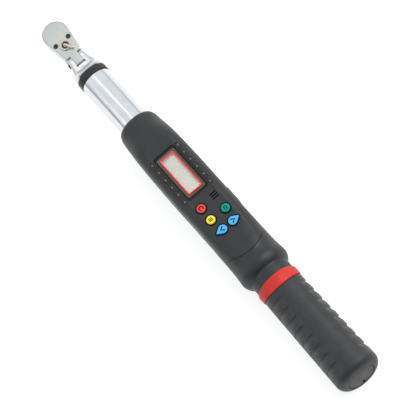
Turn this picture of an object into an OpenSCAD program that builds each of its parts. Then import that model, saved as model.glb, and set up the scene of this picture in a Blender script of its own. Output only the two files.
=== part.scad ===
// Electronic torque wrench with a flexing ratchet head.
// Millimetres. The origin is the centre of the square drive's end face. +Z runs up the drive axis
// towards the head's cover, and +X runs from the drive to the end of the handle.

/* [Head] */
// Radius of the head around the drive axis
head_r = 11; // [10.8:0.1:12]
// Half width of the head at its shoulder
shoulder_w = 8; // [7.6:0.1:8.6]
// Distance from the drive axis to the shoulder
shoulder_x = 23.9; // [23.6:0.1:24.6]
// Half thickness of the head, the tongue and the fork
head_t = 6; // [5.9:0.1:6.2]
// Width of the square drive
drive_sq = 6.35; // [6:0.05:6.35]
// Length of the square drive below the head
drive_l = 8; // [7.5:0.1:9]
// Number of teeth on the ratchet gear
gear_teeth = 48; // [36:6:60]
// Radius of the ratchet gear over its tooth tips
gear_r = 7.3; // [7.1:0.05:7.35]
// Distance from the drive axis to the reversing lever
lever_x = 13.7; // [13.6:0.1:14]
// Radius of the reversing lever's disc
lever_r = 4.4; // [4:0.1:4.8]
// Length of the lever's thumb tab from the lever axis
tab_l = 7.5; // [6.5:0.1:8]
// Angle of the thumb tab from the handle direction at rest
tab_angle = 30; // [25:1:30]

/* [Flex joint] */
// Distance from the drive axis to the pivot pin
pin_x = 27.5; // [27.3:0.1:28]
// Radius of the pivot pin
pin_r = 1.9; // [1.6:0.1:2.2]
// Half width of the tongue
tongue_w = 3.5; // [3.4:0.1:3.9]
// Distance from the drive axis to the end of the fork slot
slot_x = 34.1; // [34:0.1:34.6]
// Distance from the drive axis to the end of the flat on the fork
plateau_x = 38.5; // [38:0.1:39]

/* [Tube] */
// Outer radius of the tube
tube_r = 12.7; // [12.6:0.05:12.75]
// Wall thickness of the tube
tube_wall = 1.5; // [1.3:0.1:1.5]
// Where the seal ring starts
ring_x = 44.9; // [44.5:0.1:45.2]
// Where the tube starts, behind the seal ring
tube_x = 51.4; // [51:0.1:51.8]
// Where the tube ends
tube_end = 379; // [378:0.5:379]
// Outer radius of the seal ring
ring_r = 13.1; // [12.9:0.05:13.2]

/* [Housing] */
// Front edge of the housing
house_x = 102.8; // [102.4:0.1:103.2]
// Half height of the housing over its flat top and base
house_h = 19.6; // [19.4:0.1:20]
// Half width of the housing beside the display
house_w = 19.3; // [19:0.1:19.6]
// Corner radius of the housing's section
house_corner = 9.5; // [8.5:0.1:9.5]
// Wall thickness of the housing
wall = 2.2; // [2:0.1:2.2]
// Where the seam to the rear collar crosses the tool's side
seam_x = 239.5; // [239:0.5:240]
// How far the seam leans back for each millimetre of height
seam_slope = 0.73; // [0.7:0.01:0.75]
// Height of the joint between the upper and lower housing, from the tube's axis
split_z = -6; // [-7:0.5:-5]

/* [Display] */
// Middle of the display along the tool
display_x = 167.2; // [166.8:0.1:167.6]
// Length of the display bezel
bezel_l = 45.5; // [45:0.1:46]
// Width of the display bezel
bezel_w = 19.2; // [19:0.1:19.4]
// Length of the coloured frame round the screen
frame_l = 37.8; // [37.2:0.1:38.4]
// Width of the coloured frame round the screen
frame_w = 13.6; // [13.4:0.1:14]
// Width of the coloured frame's border
frame_border = 1; // [0.9:0.1:1.2]
// Length of each indicator strip
strip_l = 45.7; // [45:0.1:46]
// Width of each indicator strip
strip_w = 3; // [2.6:0.1:3.2]
// Distance of each indicator strip from the tool's middle
strip_y = 12.6; // [12.4:0.1:12.8]
// Distance between two indicator lights
led_pitch = 8.2; // [8:0.1:8.3]

/* [Buttons] */
// Radius of the buttons
button_r = 3.65; // [3.5:0.05:3.75]
// Travel of the buttons
button_travel = 0.8; // [0.5:0.1:0.8]
// How far the buttons stand above the panel
button_proud = 1; // [0.9:0.1:1.2]
// Distance from a teardrop button's centre to its tip
teardrop_l = 5.95; // [5.8:0.05:6.1]

/* [Collar and band] */
// Radius of the collar at its shoulder
collar_r = 21.2; // [21:0.1:21.3]
// Radius of the collar's neck
neck_r = 16.9; // [16.7:0.1:17.1]
// Front edge of the coloured band
band_x = 280.8; // [280.4:0.1:281.2]
// Rear edge of the coloured band at the tool's side
band_end = 287.3; // [287.1:0.1:288]
// How far the band's rear edge leans back for each millimetre of height
band_slope = 0.237; // [0.2:0.001:0.25]
// Radius of the coloured band
band_r = 18.1; // [17.9:0.1:18.2]

/* [Grip] */
// Radius of the grip at its front
grip_r0 = 17.4; // [17.3:0.1:17.6]
// Radius of the grip at its rear
grip_r1 = 19.3; // [19:0.1:19.4]
// End of the grip
grip_end = 383.6; // [383.2:0.1:384]
// Radius of the rounded end of the grip
grip_corner = 6.7; // [6.3:0.1:6.8]
// Number of finger grooves on each side
groove_count = 8; // [6:1:8]
// Distance between two finger grooves
groove_pitch = 9.9; // [9.4:0.1:9.9]
// Place of the first finger groove, at the height of the tube's axis
groove_x = 294.6; // [294.2:0.1:295]
// Depth of the finger grooves at the side
groove_depth = 0.9; // [0.5:0.1:1]

/* [Battery] */
// Radius of a battery cell
cell_r = 7.1; // [7:0.05:7.25]
// Length of a battery cell
cell_l = 50; // [49.5:0.1:50]
// Number of cells in line
cell_count = 4; // [3:1:4]
// Radius of the battery cap's shank
cap_r = 9.9; // [9.7:0.1:9.9]
// Radius of the battery cap's head
cap_head_r = 12; // [11.8:0.1:12.1]

/* [Hidden] */

$fn = 64;
big = 100;
eps = 0.01;
slip = 0.05;

// Colours
chrome_grey = [0.80, 0.81, 0.82];
satin_grey = [0.72, 0.74, 0.72];
steel_grey = [0.55, 0.56, 0.58];
dark_plastic = [0.16, 0.17, 0.18];
dark_rubber = [0.13, 0.13, 0.14];
signal_red = [0.82, 0.20, 0.16];
board_green = [0.05, 0.35, 0.20];
gold_brass = [0.80, 0.62, 0.25];

// Heights from the tube's axis, which lies axis_z above the drive's end face
axis_z = head_t + drive_l;
cover_t = 1.5;
pocket_top = head_t - cover_t;
pocket_floor = -4;
gear_pocket_r = 7.6;
journal_r = 5.5;

// Pawl, as a sector about the drive axis
pawl_r0 = gear_r + 0.12;
pawl_r1 = 10.75;
pawl_half_angle = 20;
pawl_rest = -4.5;
pawl_pocket_angle = 26;
pawl_t = 3.8;

// Lever
lever_shaft_r = 2.45;
lever_shaft_low = -3.8;
plunger_r = 0.7;

// Cover screws
screw_x = 8.8;
screw_y = 6.3;
screw_head_r = 1.9;
screw_shank_r = 1;

// Detent in the square drive
ball_r = 1.2;
ball_z = -head_t - 4.6;
ball_out = 0.45;
ball_x = drive_sq / 2 - ball_r + ball_out;

// Fork and strain beam
arm_w = tongue_w + 0.15;
fork_end_r = head_t;
scoop_r = fork_end_r + 0.35;
flange_r = 12.9;
ring_seat_r = 10;
tube_in_r = tube_r - tube_wall;
plug_r = tube_in_r - slip;
beam_x0 = 62;
beam_x1 = 104;
plug_end = 124;
beam_w = 12;
beam_t = 9;
beam_pin_r = 2;
beam_pin_xs = [109, 119];
cable_way_r = 1.4;
gauge_cable_pos = [136, 4.5, 6];
battery_cable_pos = [152, 0, 4];
cable_hole_r = 2;
gauge_l = 10;
gauge_w = 6;
gauge_t = 0.5;

// Housing
upper_cavity_x = 132;
upper_cavity_end = 240;
lower_cavity_end = 212;
panel_sink = 0.5;
panel_z = house_h - panel_sink;
panel_x0 = 131;
panel_x1 = 246;
panel_w = 10.8;
panel_end_r = 26;
housing_screw_y = 15.6;
housing_screw_xs = [126.5, 219];
screw_seat_z = -11;
screw_top_z = 4;
post_r = 2.4;

// Display stack, from the board up
board_z = 13.4;
board_t = 1.4;
board_top = board_z + board_t;
board_x0 = 134;
board_x1 = 234;
board_w = 13.6;
bezel_floor = panel_z - 1.2;
lcd_z = 16;
lcd_t = 1.1;
lens_z = 17.9;
lens_t = 0.8;
ceiling_z = house_h - wall;
strip_x = display_x + 0.6;
strip_floor = 16.6;
led_count = 6;

// Buttons
flange_t = 0.6;
flange_top = ceiling_z - 0.4;
flange_out = 0.9;
switch_top = flange_top - flange_t - button_travel - 0.1;
button_gap = 0.25;
clear_pos = [201.5, -6.7];
unit_pos = [214, 7.5];
set_pos = [213.9, -6.9];
up_pos = [226.1, 5.2];
down_pos = [226.1, -4.9];
buttons = [[clear_pos, 0], [unit_pos, 0], [set_pos, 0], [up_pos, 1], [down_pos, -1]];
rim_w = 1;
rim_t = 0.7;
buzzer_pos = [199.6, 7.6];
slot_pitch = 2.2;
slot_w = 0.9;
slot_l = 6;

// Side port
port_x0 = 196;
port_x1 = 212.6;
port_z0 = -0.5;
port_z1 = 8;
port_proud = 0.35;
port_t = 1.5;
port_swing = 0.3;

// Collar, band and grip
collar_x = 265.4;
neck_x = 272;
collar_core_r = 14.6;
collar_end = 283;
collar_cavity_r = 17;
groove_shift = 1.5;
cap_hole_r = cap_head_r + 0.3;

// Battery tube
sleeve_x0 = 158;
sleeve_r = tube_in_r - slip;
sleeve_in_r = cell_r + 0.35;
insert_x = 366;
insert_in_r = cap_r - 0.35;
insert_end = 375.6;
cap_plug_r = insert_in_r - slip;
cap_neck_r = cap_plug_r - 1.2;
cell_x0 = 165;
cell_x1 = cell_x0 + cell_count * cell_l;
cap_face_x = 369.5;

// Shared shapes

// Places children in the tube's own frame, with the tube along X through the origin
module on_axis() {
    translate([0, 0, axis_z]) children();
}

// Turns children built along Z so that they run along X from x
module along_x(x) {
    translate([x, 0, 0]) rotate([0, 90, 0]) children();
}

// A round solid about the X axis, from points given as [distance along X, radius]
module turned(points) {
    rotate([0, 90, 0]) rotate_extrude($fn = 96) polygon([for (p = points) [p[1], p[0]]]);
}

// A round sleeve about the X axis
module sleeve(x0, x1, outer, inner) {
    difference() {
        along_x(x0) cylinder(r = outer, h = x1 - x0);
        along_x(x0 - 1) cylinder(r = inner, h = x1 - x0 + 2);
    }
}

// A rectangle with round corners, centred
module round_rect(l, w, r) {
    square([l - 2 * r, w], center = true);
    square([l, w - 2 * r], center = true);
    for (i = [-1, 1], j = [-1, 1])
        translate([i * (l / 2 - r), j * (w / 2 - r)]) circle(r = r, $fn = 32);
}

// A plate with round corners, centred on a point and standing on z
module plate(pos, z, l, w, t, r) {
    translate([pos[0], pos[1], z]) linear_extrude(t) round_rect(l, w, r);
}

// Points of a ring of a swept wire, at angle a round a coil about Z
function wire_ring(a, coil_r, z, wire_r, sides) = [
    for (i = [0 : sides - 1])
        let (b = 360 * i / sides, r = coil_r + wire_r * cos(b))
        [r * cos(a), r * sin(a), z + wire_r * sin(b)]
];

// A coil spring about Z, from z = 0 to length, whose coil radius goes from r0 to r1
module coil_spring(r0, r1, wire_r, turns, length) {
    sides = 6;
    steps = round(turns * 14);
    points = [
        for (i = [0 : steps])
            let (f = i / steps)
            each wire_ring(360 * turns * f, r0 + (r1 - r0) * f,
                           wire_r + (length - 2 * wire_r) * f, wire_r, sides)
    ];
    faces = concat(
        [[for (i = [0 : sides - 1]) i]],
        [for (k = [0 : steps - 1], i = [0 : sides - 1])
            let (a = k * sides + i, b = k * sides + (i + 1) % sides)
            [a, a + sides, b + sides, b]],
        [[for (i = [sides - 1 : -1 : 0]) steps * sides + i]]
    );
    polyhedron(points = points, faces = faces, convexity = 10);
}

// Head

// Outline of the head seen from above, drawn in by an inset
module head_outline(inset) {
    r = head_r - inset;
    x = shoulder_x - inset;
    w = shoulder_w - inset;
    tangent = atan2(w, x) + acos(r / norm([x, w]));
    circle(r = r, $fn = 96);
    polygon([
        [r * cos(tangent), r * sin(tangent)], [x, w], [x, -w],
        [r * cos(tangent), -r * sin(tangent)]
    ]);
}

// A sector of a ring about the drive axis, symmetrical about +X
module sector(r0, r1, half_angle, t) {
    difference() {
        linear_extrude(t) intersection() {
            circle(r = r1, $fn = 96);
            polygon([
                [0, 0], [2 * r1 * cos(half_angle), 2 * r1 * sin(half_angle)],
                [2 * r1 * cos(half_angle), -2 * r1 * sin(half_angle)]
            ]);
        }
        translate([0, 0, -1]) cylinder(r = r0, h = t + 2);
    }
}

module across_y(x, z, r, w) {
    translate([x, w, z]) rotate([90, 0, 0]) cylinder(r = r, h = 2 * w);
}

module head_body() {
    color(chrome_grey) on_axis() difference() {
        union() {
            difference() {
                translate([0, 0, -head_t]) linear_extrude(2 * head_t) head_outline(0);
                across_y(pin_x, 0, scoop_r, head_r);
            }
            translate([shoulder_x - 4, -tongue_w, -head_t])
                cube([pin_x - shoulder_x + 4, 2 * tongue_w, 2 * head_t]);
            across_y(pin_x, 0, fork_end_r, tongue_w);
        }
        // Recess for the cover plate
        translate([0, 0, pocket_top]) linear_extrude(cover_t + 1) head_outline(0.9 - slip);
        // Pocket for the gear, and the drive's hole below it
        translate([0, 0, pocket_floor]) cylinder(r = gear_pocket_r, h = 2 * head_t);
        translate([0, 0, -head_t - 1]) cylinder(r = journal_r + slip, h = head_t);
        // Pocket for the pawl, and the bore for the lever's shaft
        translate([0, 0, pocket_floor])
            sector(gear_pocket_r - 1, pawl_r1 + 0.35, pawl_pocket_angle, 2 * head_t);
        translate([lever_x, 0, pocket_floor]) cylinder(r = lever_shaft_r + slip, h = 2 * head_t);
        translate([pawl_r1 - 1, -2.4, -1.5]) cube([lever_x - pawl_r1 + 1, 4.8, 3]);
        for (i = [-1, 1])
            translate([screw_x, i * screw_y, -2]) cylinder(r = screw_shank_r + slip, h = head_t + 2);
        across_y(pin_x, 0, pin_r + slip, head_r);
    }
}

module cover_plate() {
    color(satin_grey) on_axis() difference() {
        translate([0, 0, pocket_top]) linear_extrude(cover_t) head_outline(0.9);
        translate([lever_x, 0, 0]) cylinder(r = lever_shaft_r + slip, h = 2 * head_t);
        for (i = [-1, 1]) translate([screw_x, i * screw_y, 0]) {
            cylinder(r = screw_shank_r + slip, h = 2 * head_t);
            translate([0, 0, pocket_top + 0.5]) cylinder(r = screw_head_r + slip, h = head_t);
        }
    }
}

module cover_screws() {
    color(steel_grey) on_axis() for (i = [-1, 1]) translate([screw_x, i * screw_y, 0])
        difference() {
            union() {
                translate([0, 0, -1.9]) cylinder(r = screw_shank_r, h = pocket_top + 2.4);
                translate([0, 0, pocket_top + 0.5]) cylinder(r = screw_head_r, h = 0.75);
            }
            translate([0, 0, pocket_top + 0.55]) cylinder(r = 0.95, h = 1, $fn = 6);
        }
}

// Ratchet gear, its journal and the square drive, in one forging
module ratchet_drive() {
    tooth_depth = 0.55;
    drive_corner_r = drive_sq * 0.675;
    chamfer = 0.7;
    color(steel_grey) on_axis() difference() {
        union() {
            translate([0, 0, pocket_floor + slip])
                linear_extrude(pocket_top - pocket_floor - 3 * slip)
                polygon([
                    for (i = [0 : 2 * gear_teeth - 1])
                        let (a = 180 * i / gear_teeth, r = gear_r - tooth_depth * (i % 2))
                        [r * cos(a), r * sin(a)]
                ]);
            translate([0, 0, -head_t]) cylinder(r = journal_r, h = head_t);
            intersection() {
                translate([-drive_sq / 2, -drive_sq / 2, -axis_z])
                    cube([drive_sq, drive_sq, axis_z]);
                rotate_extrude() polygon([
                    [0, -axis_z], [drive_corner_r - chamfer, -axis_z],
                    [drive_corner_r, -axis_z + chamfer], [drive_corner_r, 0], [0, 0]
                ]);
            }
        }
        translate([-1.9, 0, ball_z]) rotate([0, 90, 0]) cylinder(r = ball_r + slip, h = 10);
    }
}

module detent_ball() {
    color(chrome_grey) on_axis() translate([ball_x, 0, ball_z]) sphere(r = ball_r, $fn = 32);
}

module detent_spring() {
    color(steel_grey) on_axis() translate([-1.2, 0, ball_z]) rotate([0, 90, 0])
        coil_spring(0.85, 0.85, 0.15, 4, ball_x - ball_r + 1.1);
}

module pawl() {
    color(steel_grey) on_axis() rotate([0, 0, pawl_rest]) translate([0, 0, -pawl_t])
        difference() {
            sector(pawl_r0, pawl_r1, pawl_half_angle, 2 * pawl_t);
            // Teeth on the face that meets the gear
            for (i = [-2 : 2]) rotate([0, 0, 360 * i / gear_teeth])
                translate([pawl_r0, 0, -1]) cylinder(r = 0.28, h = 2 * pawl_t + 2, $fn = 4);
        }
}

module reverse_lever() {
    disc_z = head_t + slip;
    disc_t = 1.4;
    color(satin_grey) on_axis() translate([lever_x, 0, 0]) rotate([0, 0, tab_angle])
        difference() {
            union() {
                translate([0, 0, lever_shaft_low])
                    cylinder(r = lever_shaft_r, h = disc_z - lever_shaft_low);
                translate([0, 0, disc_z]) cylinder(r = lever_r, h = disc_t);
                translate([0, -1.3, disc_z]) cube([tab_l - 1.3, 2.6, disc_t + 1]);
                translate([tab_l - 1.3, 0, disc_z]) cylinder(r = 1.3, h = disc_t + 1);
            }
            translate([-3, 0, 0]) rotate([0, 90, 0]) cylinder(r = plunger_r + slip, h = 4.9);
        }
}

module lever_plunger() {
    color(steel_grey) on_axis() translate([lever_x, 0, 0]) rotate([0, 0, tab_angle])
        translate([-2.1, 0, 0]) rotate([0, 90, 0]) {
            cylinder(r = plunger_r, h = 1.2);
            sphere(r = plunger_r, $fn = 32);
        }
}

module lever_spring() {
    color(steel_grey) on_axis() translate([lever_x, 0, 0]) rotate([0, 0, tab_angle])
        translate([-0.85, 0, 0]) rotate([0, 90, 0]) coil_spring(0.5, 0.5, 0.12, 4, 2.65);
}

// Flex joint

module pivot_pin() {
    pin_l = 7.4;
    head_y = 9.1;
    color(steel_grey) on_axis() difference() {
        union() {
            across_y(pin_x, 0, pin_r, pin_l);
            translate([pin_x, -pin_l + 1, 0]) rotate([90, 0, 0])
                cylinder(r = pin_r, h = head_y - pin_l + 1);
        }
        translate([pin_x, -head_y + 0.8, 0]) rotate([90, 0, 0]) cylinder(r = 0.9, h = 2, $fn = 6);
    }
}

module flex_plunger() {
    color(steel_grey) on_axis() difference() {
        along_x(slot_x - 0.45) cylinder(r = 1.8, h = 3.4);
        across_y(pin_x, 0, fork_end_r + 0.08, 4);
    }
}

module flex_spring() {
    color(steel_grey) on_axis() along_x(slot_x + 3) coil_spring(1.4, 1.4, 0.2, 5, 5.8);
}

// Fork, flange and strain beam, in one forging
module flex_yoke() {
    color(chrome_grey) on_axis() difference() {
        union() {
            intersection() {
                // Seen from above
                translate([0, 0, -big / 2]) linear_extrude(big) polygon([
                    [pin_x - 7, 7.5], [31, 8.7], [35, 9.8], [plateau_x, 11.2], [42, 12.6],
                    [ring_x, flange_r], [ring_x, -flange_r], [42, -12.6], [plateau_x, -11.2],
                    [35, -9.8], [31, -8.7], [pin_x - 7, -7.5]
                ]);
                // Seen from the side
                rotate([90, 0, 0]) translate([0, 0, -big / 2]) linear_extrude(big) {
                    translate([pin_x, 0]) circle(r = fork_end_r, $fn = 96);
                    polygon([
                        [pin_x, head_t], [plateau_x, head_t], [43, 12.4], [ring_x, flange_r],
                        [ring_x, -flange_r], [43, -12.4], [plateau_x, -head_t], [pin_x, -head_t]
                    ]);
                }
                turned([
                    [pin_x - 7, 0], [pin_x - 7, 9.1], [31, 9.7], [plateau_x, 12], [42, 12.8],
                    [ring_x - 0.6, flange_r], [ring_x, flange_r - 0.5], [ring_x, 0]
                ]);
            }
            along_x(ring_x - 1) cylinder(r = ring_seat_r, h = tube_x - ring_x + 2);
            along_x(tube_x) cylinder(r = plug_r - 0.15, h = beam_x0 - tube_x);
            translate([beam_x0 - 1, -beam_w / 2, -beam_t / 2])
                cube([beam_x1 - beam_x0 + 2, beam_w, beam_t]);
            along_x(beam_x1) cylinder(r = plug_r, h = plug_end - beam_x1);
        }
        // Slot between the arms, with relieved corners
        translate([0, -arm_w, -head_t - 1]) cube([slot_x, 2 * arm_w, 2 * head_t + 2]);
        for (i = [-1, 1]) translate([slot_x - 0.9, i * arm_w - 0.4, -head_t - 1])
            cube([0.9, 0.8, 2 * head_t + 2]);
        across_y(pin_x, 0, pin_r + slip, big / 2);
        along_x(slot_x - 1) cylinder(r = 1.8 + slip, h = 10);
        // Cable way and pin holes through the rear plug
        translate([0, gauge_cable_pos[1], gauge_cable_pos[2]]) along_x(beam_x1 - 1)
            cylinder(r = cable_way_r, h = big);
        for (x = beam_pin_xs) translate([x, 0, -big / 2]) cylinder(r = beam_pin_r + eps, h = big);
    }
}

module strain_gauges() {
    gauge_xs = [76, 92];
    color(gold_brass) on_axis() for (x = gauge_xs, i = [-1, 1])
        translate([x - gauge_l / 2, i * (beam_w / 2 + gauge_t / 2) - gauge_t / 2, -gauge_w / 2])
            cube([gauge_l, gauge_t, gauge_w]);
}

module seal_ring() {
    edge = 0.5;
    color(dark_rubber) on_axis() turned([
        [ring_x, ring_seat_r], [ring_x, ring_r - edge], [ring_x + edge, ring_r],
        [tube_x - edge, ring_r], [tube_x, ring_r - edge], [tube_x, ring_seat_r]
    ]);
}

// Tube

module main_tube() {
    edge = 0.3;
    color(chrome_grey) on_axis() difference() {
        turned([
            [tube_x, tube_in_r], [tube_x, tube_r - edge], [tube_x + edge, tube_r],
            [tube_end, tube_r], [tube_end, tube_in_r]
        ]);
        for (x = beam_pin_xs) translate([x, 0, -big / 2]) cylinder(r = beam_pin_r + eps, h = big);
        // Ways out for the gauge cable and the battery cable
        for (p = [gauge_cable_pos, battery_cable_pos]) translate(p)
            cylinder(r = cable_hole_r, h = tube_r + 1);
    }
}

module beam_pins() {
    pin_l = 24.8;
    color(steel_grey) on_axis() for (x = beam_pin_xs)
        translate([x, 0, -pin_l / 2]) cylinder(r = beam_pin_r, h = pin_l);
}

// Housing

// Outer form of the housing, drawn in by an inset
module housing_form(inset) {
    h = house_h - inset;
    w = house_w - inset;
    x0 = house_x + inset;
    intersection() {
        // Section
        along_x(x0) linear_extrude(seam_x + 30 - x0)
            round_rect(2 * h, 2 * w, house_corner - inset);
        // Seen from above
        translate([0, 0, -big / 2]) linear_extrude(big) polygon([
            [x0, 17 - inset], [108.8, 17.2 - inset], [119.5, 18 - inset], [133, 18.6 - inset],
            [165, w], [seam_x + 30, w], [seam_x + 30, -w], [165, -w], [133, inset - 18.6],
            [119.5, inset - 18], [108.8, inset - 17.2], [x0, inset - 17]
        ]);
        // Round nose, and a round tail that meets the collar
        turned([
            [x0, 0], [x0, 13.3 - inset], [x0 + 0.4, 14.6 - inset], [x0 + 1.6, 15.8 - inset],
            [x0 + 3.4, 16.7 - inset], [x0 + 6.3, 17.4 - inset], [119.4, 18.6 - inset],
            [124, 19.9 - inset], [129, 21.8 - inset], [137, 25 - inset], [218, 25 - inset],
            [232, 22.4 - inset], [244, 20.4 - inset], [seam_x + 30, 20.1 - inset],
            [seam_x + 30, 0]
        ]);
    }
}

// Everything behind the tilted seam plane, moved back by a gap
module behind_seam(gap) {
    translate([seam_x + gap, 0, 0]) rotate([0, atan(seam_slope), 0])
        translate([0, -big, -big]) cube([2 * big, 2 * big, 2 * big]);
}

// The sunken panel, with a bowed edge at each end
module panel_form(z) {
    translate([0, 0, z]) linear_extrude(5) intersection() {
        translate([panel_x0, -panel_w]) square([panel_x1 - panel_x0, 2 * panel_w]);
        translate([panel_x0 + panel_end_r, 0]) circle(r = panel_end_r + 60, $fn = 128);
        union() {
            translate([panel_x0 + panel_end_r, 0]) circle(r = panel_end_r, $fn = 96);
            translate([panel_x0 + panel_end_r, -panel_w])
                square([panel_x1 - panel_x0 - 2 * panel_end_r, 2 * panel_w]);
            translate([panel_x1 - panel_end_r, 0]) circle(r = panel_end_r, $fn = 96);
        }
    }
}

// A circle with a blunt point towards side, whose flanks cut just inside the tangents
module teardrop(r, tip, side) {
    a = acos(r / tip);
    w = 0.97 * r * sin(a);
    blunt = 0.55;
    circle(r = r);
    polygon([
        [w, side * r * cos(a)], [blunt, side * (tip - 0.5)], [blunt / 2, side * tip],
        [-blunt / 2, side * tip], [-blunt, side * (tip - 0.5)], [-w, side * r * cos(a)]
    ]);
}

module button_outline(side, grow) {
    if (side == 0) circle(r = button_r + grow);
    else teardrop(button_r + grow, teardrop_l + grow, side);
}

module upper_housing() {
    color(dark_plastic) on_axis() difference() {
        housing_form(0);
        translate([0, 0, split_z - big]) linear_extrude(big)
            square([4 * big * 2, big], center = true);
        behind_seam(0);
        // Space round the board, open to the seam, with two screw posts left standing
        difference() {
            intersection() {
                housing_form(wall);
                translate([upper_cavity_x, -big / 2, -big / 2])
                    cube([upper_cavity_end - upper_cavity_x, big, big]);
            }
            for (i = [-1, 1]) translate([housing_screw_xs[1], i * housing_screw_y, -big / 2])
                cylinder(r = post_r, h = big / 2 + screw_top_z + 2);
        }
        along_x(house_x - 1) cylinder(r = tube_r + slip, h = 2 * big);
        panel_form(panel_z);
        // Screen opening, its rebate and the two indicator slots
        plate([display_x, 0], ceiling_z - 1, bezel_l - 2, bezel_w - 2, 5, 1);
        plate([display_x, 0], bezel_floor, bezel_l + 0.2, bezel_w + 0.2, 5, 1.5);
        for (i = [-1, 1])
            plate([strip_x, i * strip_y], strip_floor - 2, strip_l + 0.1, strip_w + 0.1, 9, 1.4);
        // Button holes
        for (b = buttons) translate([b[0][0], b[0][1], 0]) {
            translate([0, 0, ceiling_z - 1]) linear_extrude(5) button_outline(b[1], button_gap);
            translate([0, 0, panel_z]) linear_extrude(5) button_outline(b[1], rim_w + slip);
        }
        // Sound slots
        for (i = [-1 : 1]) translate([buzzer_pos[0] + i * slot_pitch - slot_w / 2,
                                      buzzer_pos[1] - slot_l / 2, ceiling_z - 1])
            cube([slot_w, slot_l, 5]);
        // Seat and opening of the side port
        translate([port_x0 - slip, house_w - port_t, port_z0 - slip])
            cube([port_x1 - port_x0 + 2 * slip, 5, port_z1 - port_z0 + port_swing]);
        translate([port_x0 + 2, house_w - 6, port_z0 + 2.2])
            cube([port_x1 - port_x0 - 4, 8, port_z1 - port_z0 - 3.7]);
        for (x = housing_screw_xs, i = [-1, 1]) translate([x, i * housing_screw_y, split_z - 1])
            cylinder(r = 1.1, h = screw_top_z - split_z + 1);
    }
}

module lower_housing() {
    color(dark_plastic) on_axis() difference() {
        intersection() {
            housing_form(0);
            translate([0, -big / 2, split_z - 0.05 - big]) cube([4 * big, big, big]);
        }
        behind_seam(0);
        intersection() {
            housing_form(wall);
            translate([upper_cavity_x, -big / 2, -big / 2])
                cube([lower_cavity_end - upper_cavity_x, big, big]);
        }
        along_x(house_x - 1) cylinder(r = tube_r + slip, h = 2 * big);
        for (x = housing_screw_xs, i = [-1, 1]) translate([x, i * housing_screw_y, 0]) {
            translate([0, 0, -big / 2]) cylinder(r = 2.3, h = big / 2 + screw_seat_z);
            translate([0, 0, -big / 2]) cylinder(r = 1.15, h = big / 2);
        }
    }
}

module housing_screws() {
    color(steel_grey) on_axis() for (x = housing_screw_xs, i = [-1, 1])
        translate([x, i * housing_screw_y, screw_seat_z]) difference() {
            union() {
                translate([0, 0, -1.5]) cylinder(r = 2.1, h = 1.5);
                translate([0, 0, -1]) cylinder(r = 1.05, h = screw_top_z - screw_seat_z + 0.5);
            }
            translate([0, 0, -3]) cylinder(r = 1, h = 2.4, $fn = 6);
        }
}

module rear_collar() {
    seam_gap = 0.2;
    color(dark_plastic) on_axis() difference() {
        turned([
            [seam_x - 20, 0], [seam_x - 20, 19.9], [seam_x, 20], [collar_x - 12, 20.4],
            [collar_x - 3, collar_r - 0.1], [collar_x - 1.4, collar_r], [collar_x, collar_r - 0.1],
            [collar_x + 2, collar_r - 0.7], [neck_x - 3.2, neck_r + 2.4],
            [neck_x - 2, neck_r + 1.3], [neck_x - 0.8, neck_r + 0.5], [neck_x + 0.8, neck_r],
            [band_x, neck_r], [band_x, collar_core_r], [collar_end, collar_core_r],
            [collar_end, 0]
        ]);
        difference() {
            translate([0, -big, -big]) cube([seam_x + 2 * big, 2 * big, 2 * big]);
            behind_seam(seam_gap);
        }
        // Flat base in line with the housing's
        translate([0, -big, -house_h - big]) cube([4 * big, 2 * big, big]);
        along_x(200) cylinder(r = collar_cavity_r, h = collar_x - 203);
        along_x(200) cylinder(r = tube_r + slip, h = 2 * big);
    }
}

// Display

module display_bezel() {
    color(dark_plastic) on_axis() difference() {
        plate([display_x, 0], bezel_floor + slip, bezel_l, bezel_w, 0.8, 1.4);
        plate([display_x, 0], 0, frame_l + 0.1, frame_w + 0.1, 40, 1.5);
    }
}

module display_frame() {
    color(signal_red) on_axis() difference() {
        plate([display_x, 0], lcd_z + lcd_t + 0.1, frame_l, frame_w, 1.85, 1.4);
        plate([display_x, 0], 0, frame_l - 2 * frame_border, frame_w - 2 * frame_border, 40, 0.9);
    }
}

module display_lens() {
    color([0.85, 0.9, 0.9, 0.35]) on_axis() plate([display_x, 0], lens_z,
        frame_l - 2 * frame_border - 0.1, frame_w - 2 * frame_border - 0.1, lens_t, 0.85);
}

module lcd_panel() {
    color([0.78, 0.77, 0.70]) on_axis() plate([display_x, 0], lcd_z, 41, 16.4, lcd_t, 0.3);
}

module lcd_backlight() {
    color([0.9, 0.9, 0.85]) on_axis()
        plate([display_x, 0], board_top + slip, 39, 12, lcd_z - board_top - 2 * slip, 0.3);
}

module lcd_contact_strips() {
    color([0.85, 0.45, 0.55]) on_axis() for (i = [-1, 1])
        plate([display_x, i * 7.2], board_top + slip, 38, 1.5, lcd_z - board_top - 2 * slip, 0.3);
}

module main_board() {
    color(board_green) on_axis() difference() {
        translate([board_x0, -board_w, board_z]) cube([board_x1 - board_x0, 2 * board_w, board_t]);
        for (x = [board_x0 + 3, board_x1 - 3], y = [-board_w + 3, board_w - 3])
            translate([x, y, board_z - 1]) cylinder(r = 1.1, h = board_t + 2);
    }
}

module board_chips() {
    chips = [[139, 5, 6, 6], [139, -5, 4, 5], [194, -1, 4, 8], [207.6, 0.4, 5, 4], [232, 0, 3, 5]];
    color([0.12, 0.12, 0.13]) on_axis() for (c = chips)
        translate([c[0] - c[2] / 2, c[1] - c[3] / 2, board_top]) cube([c[2], c[3], 1]);
}

module buzzer() {
    color([0.1, 0.1, 0.1]) on_axis() translate([buzzer_pos[0], buzzer_pos[1], board_top])
        difference() {
            cylinder(r = 4.6, h = 2);
            translate([0, 0, 1.2]) cylinder(r = 1, h = 1);
        }
}

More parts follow.
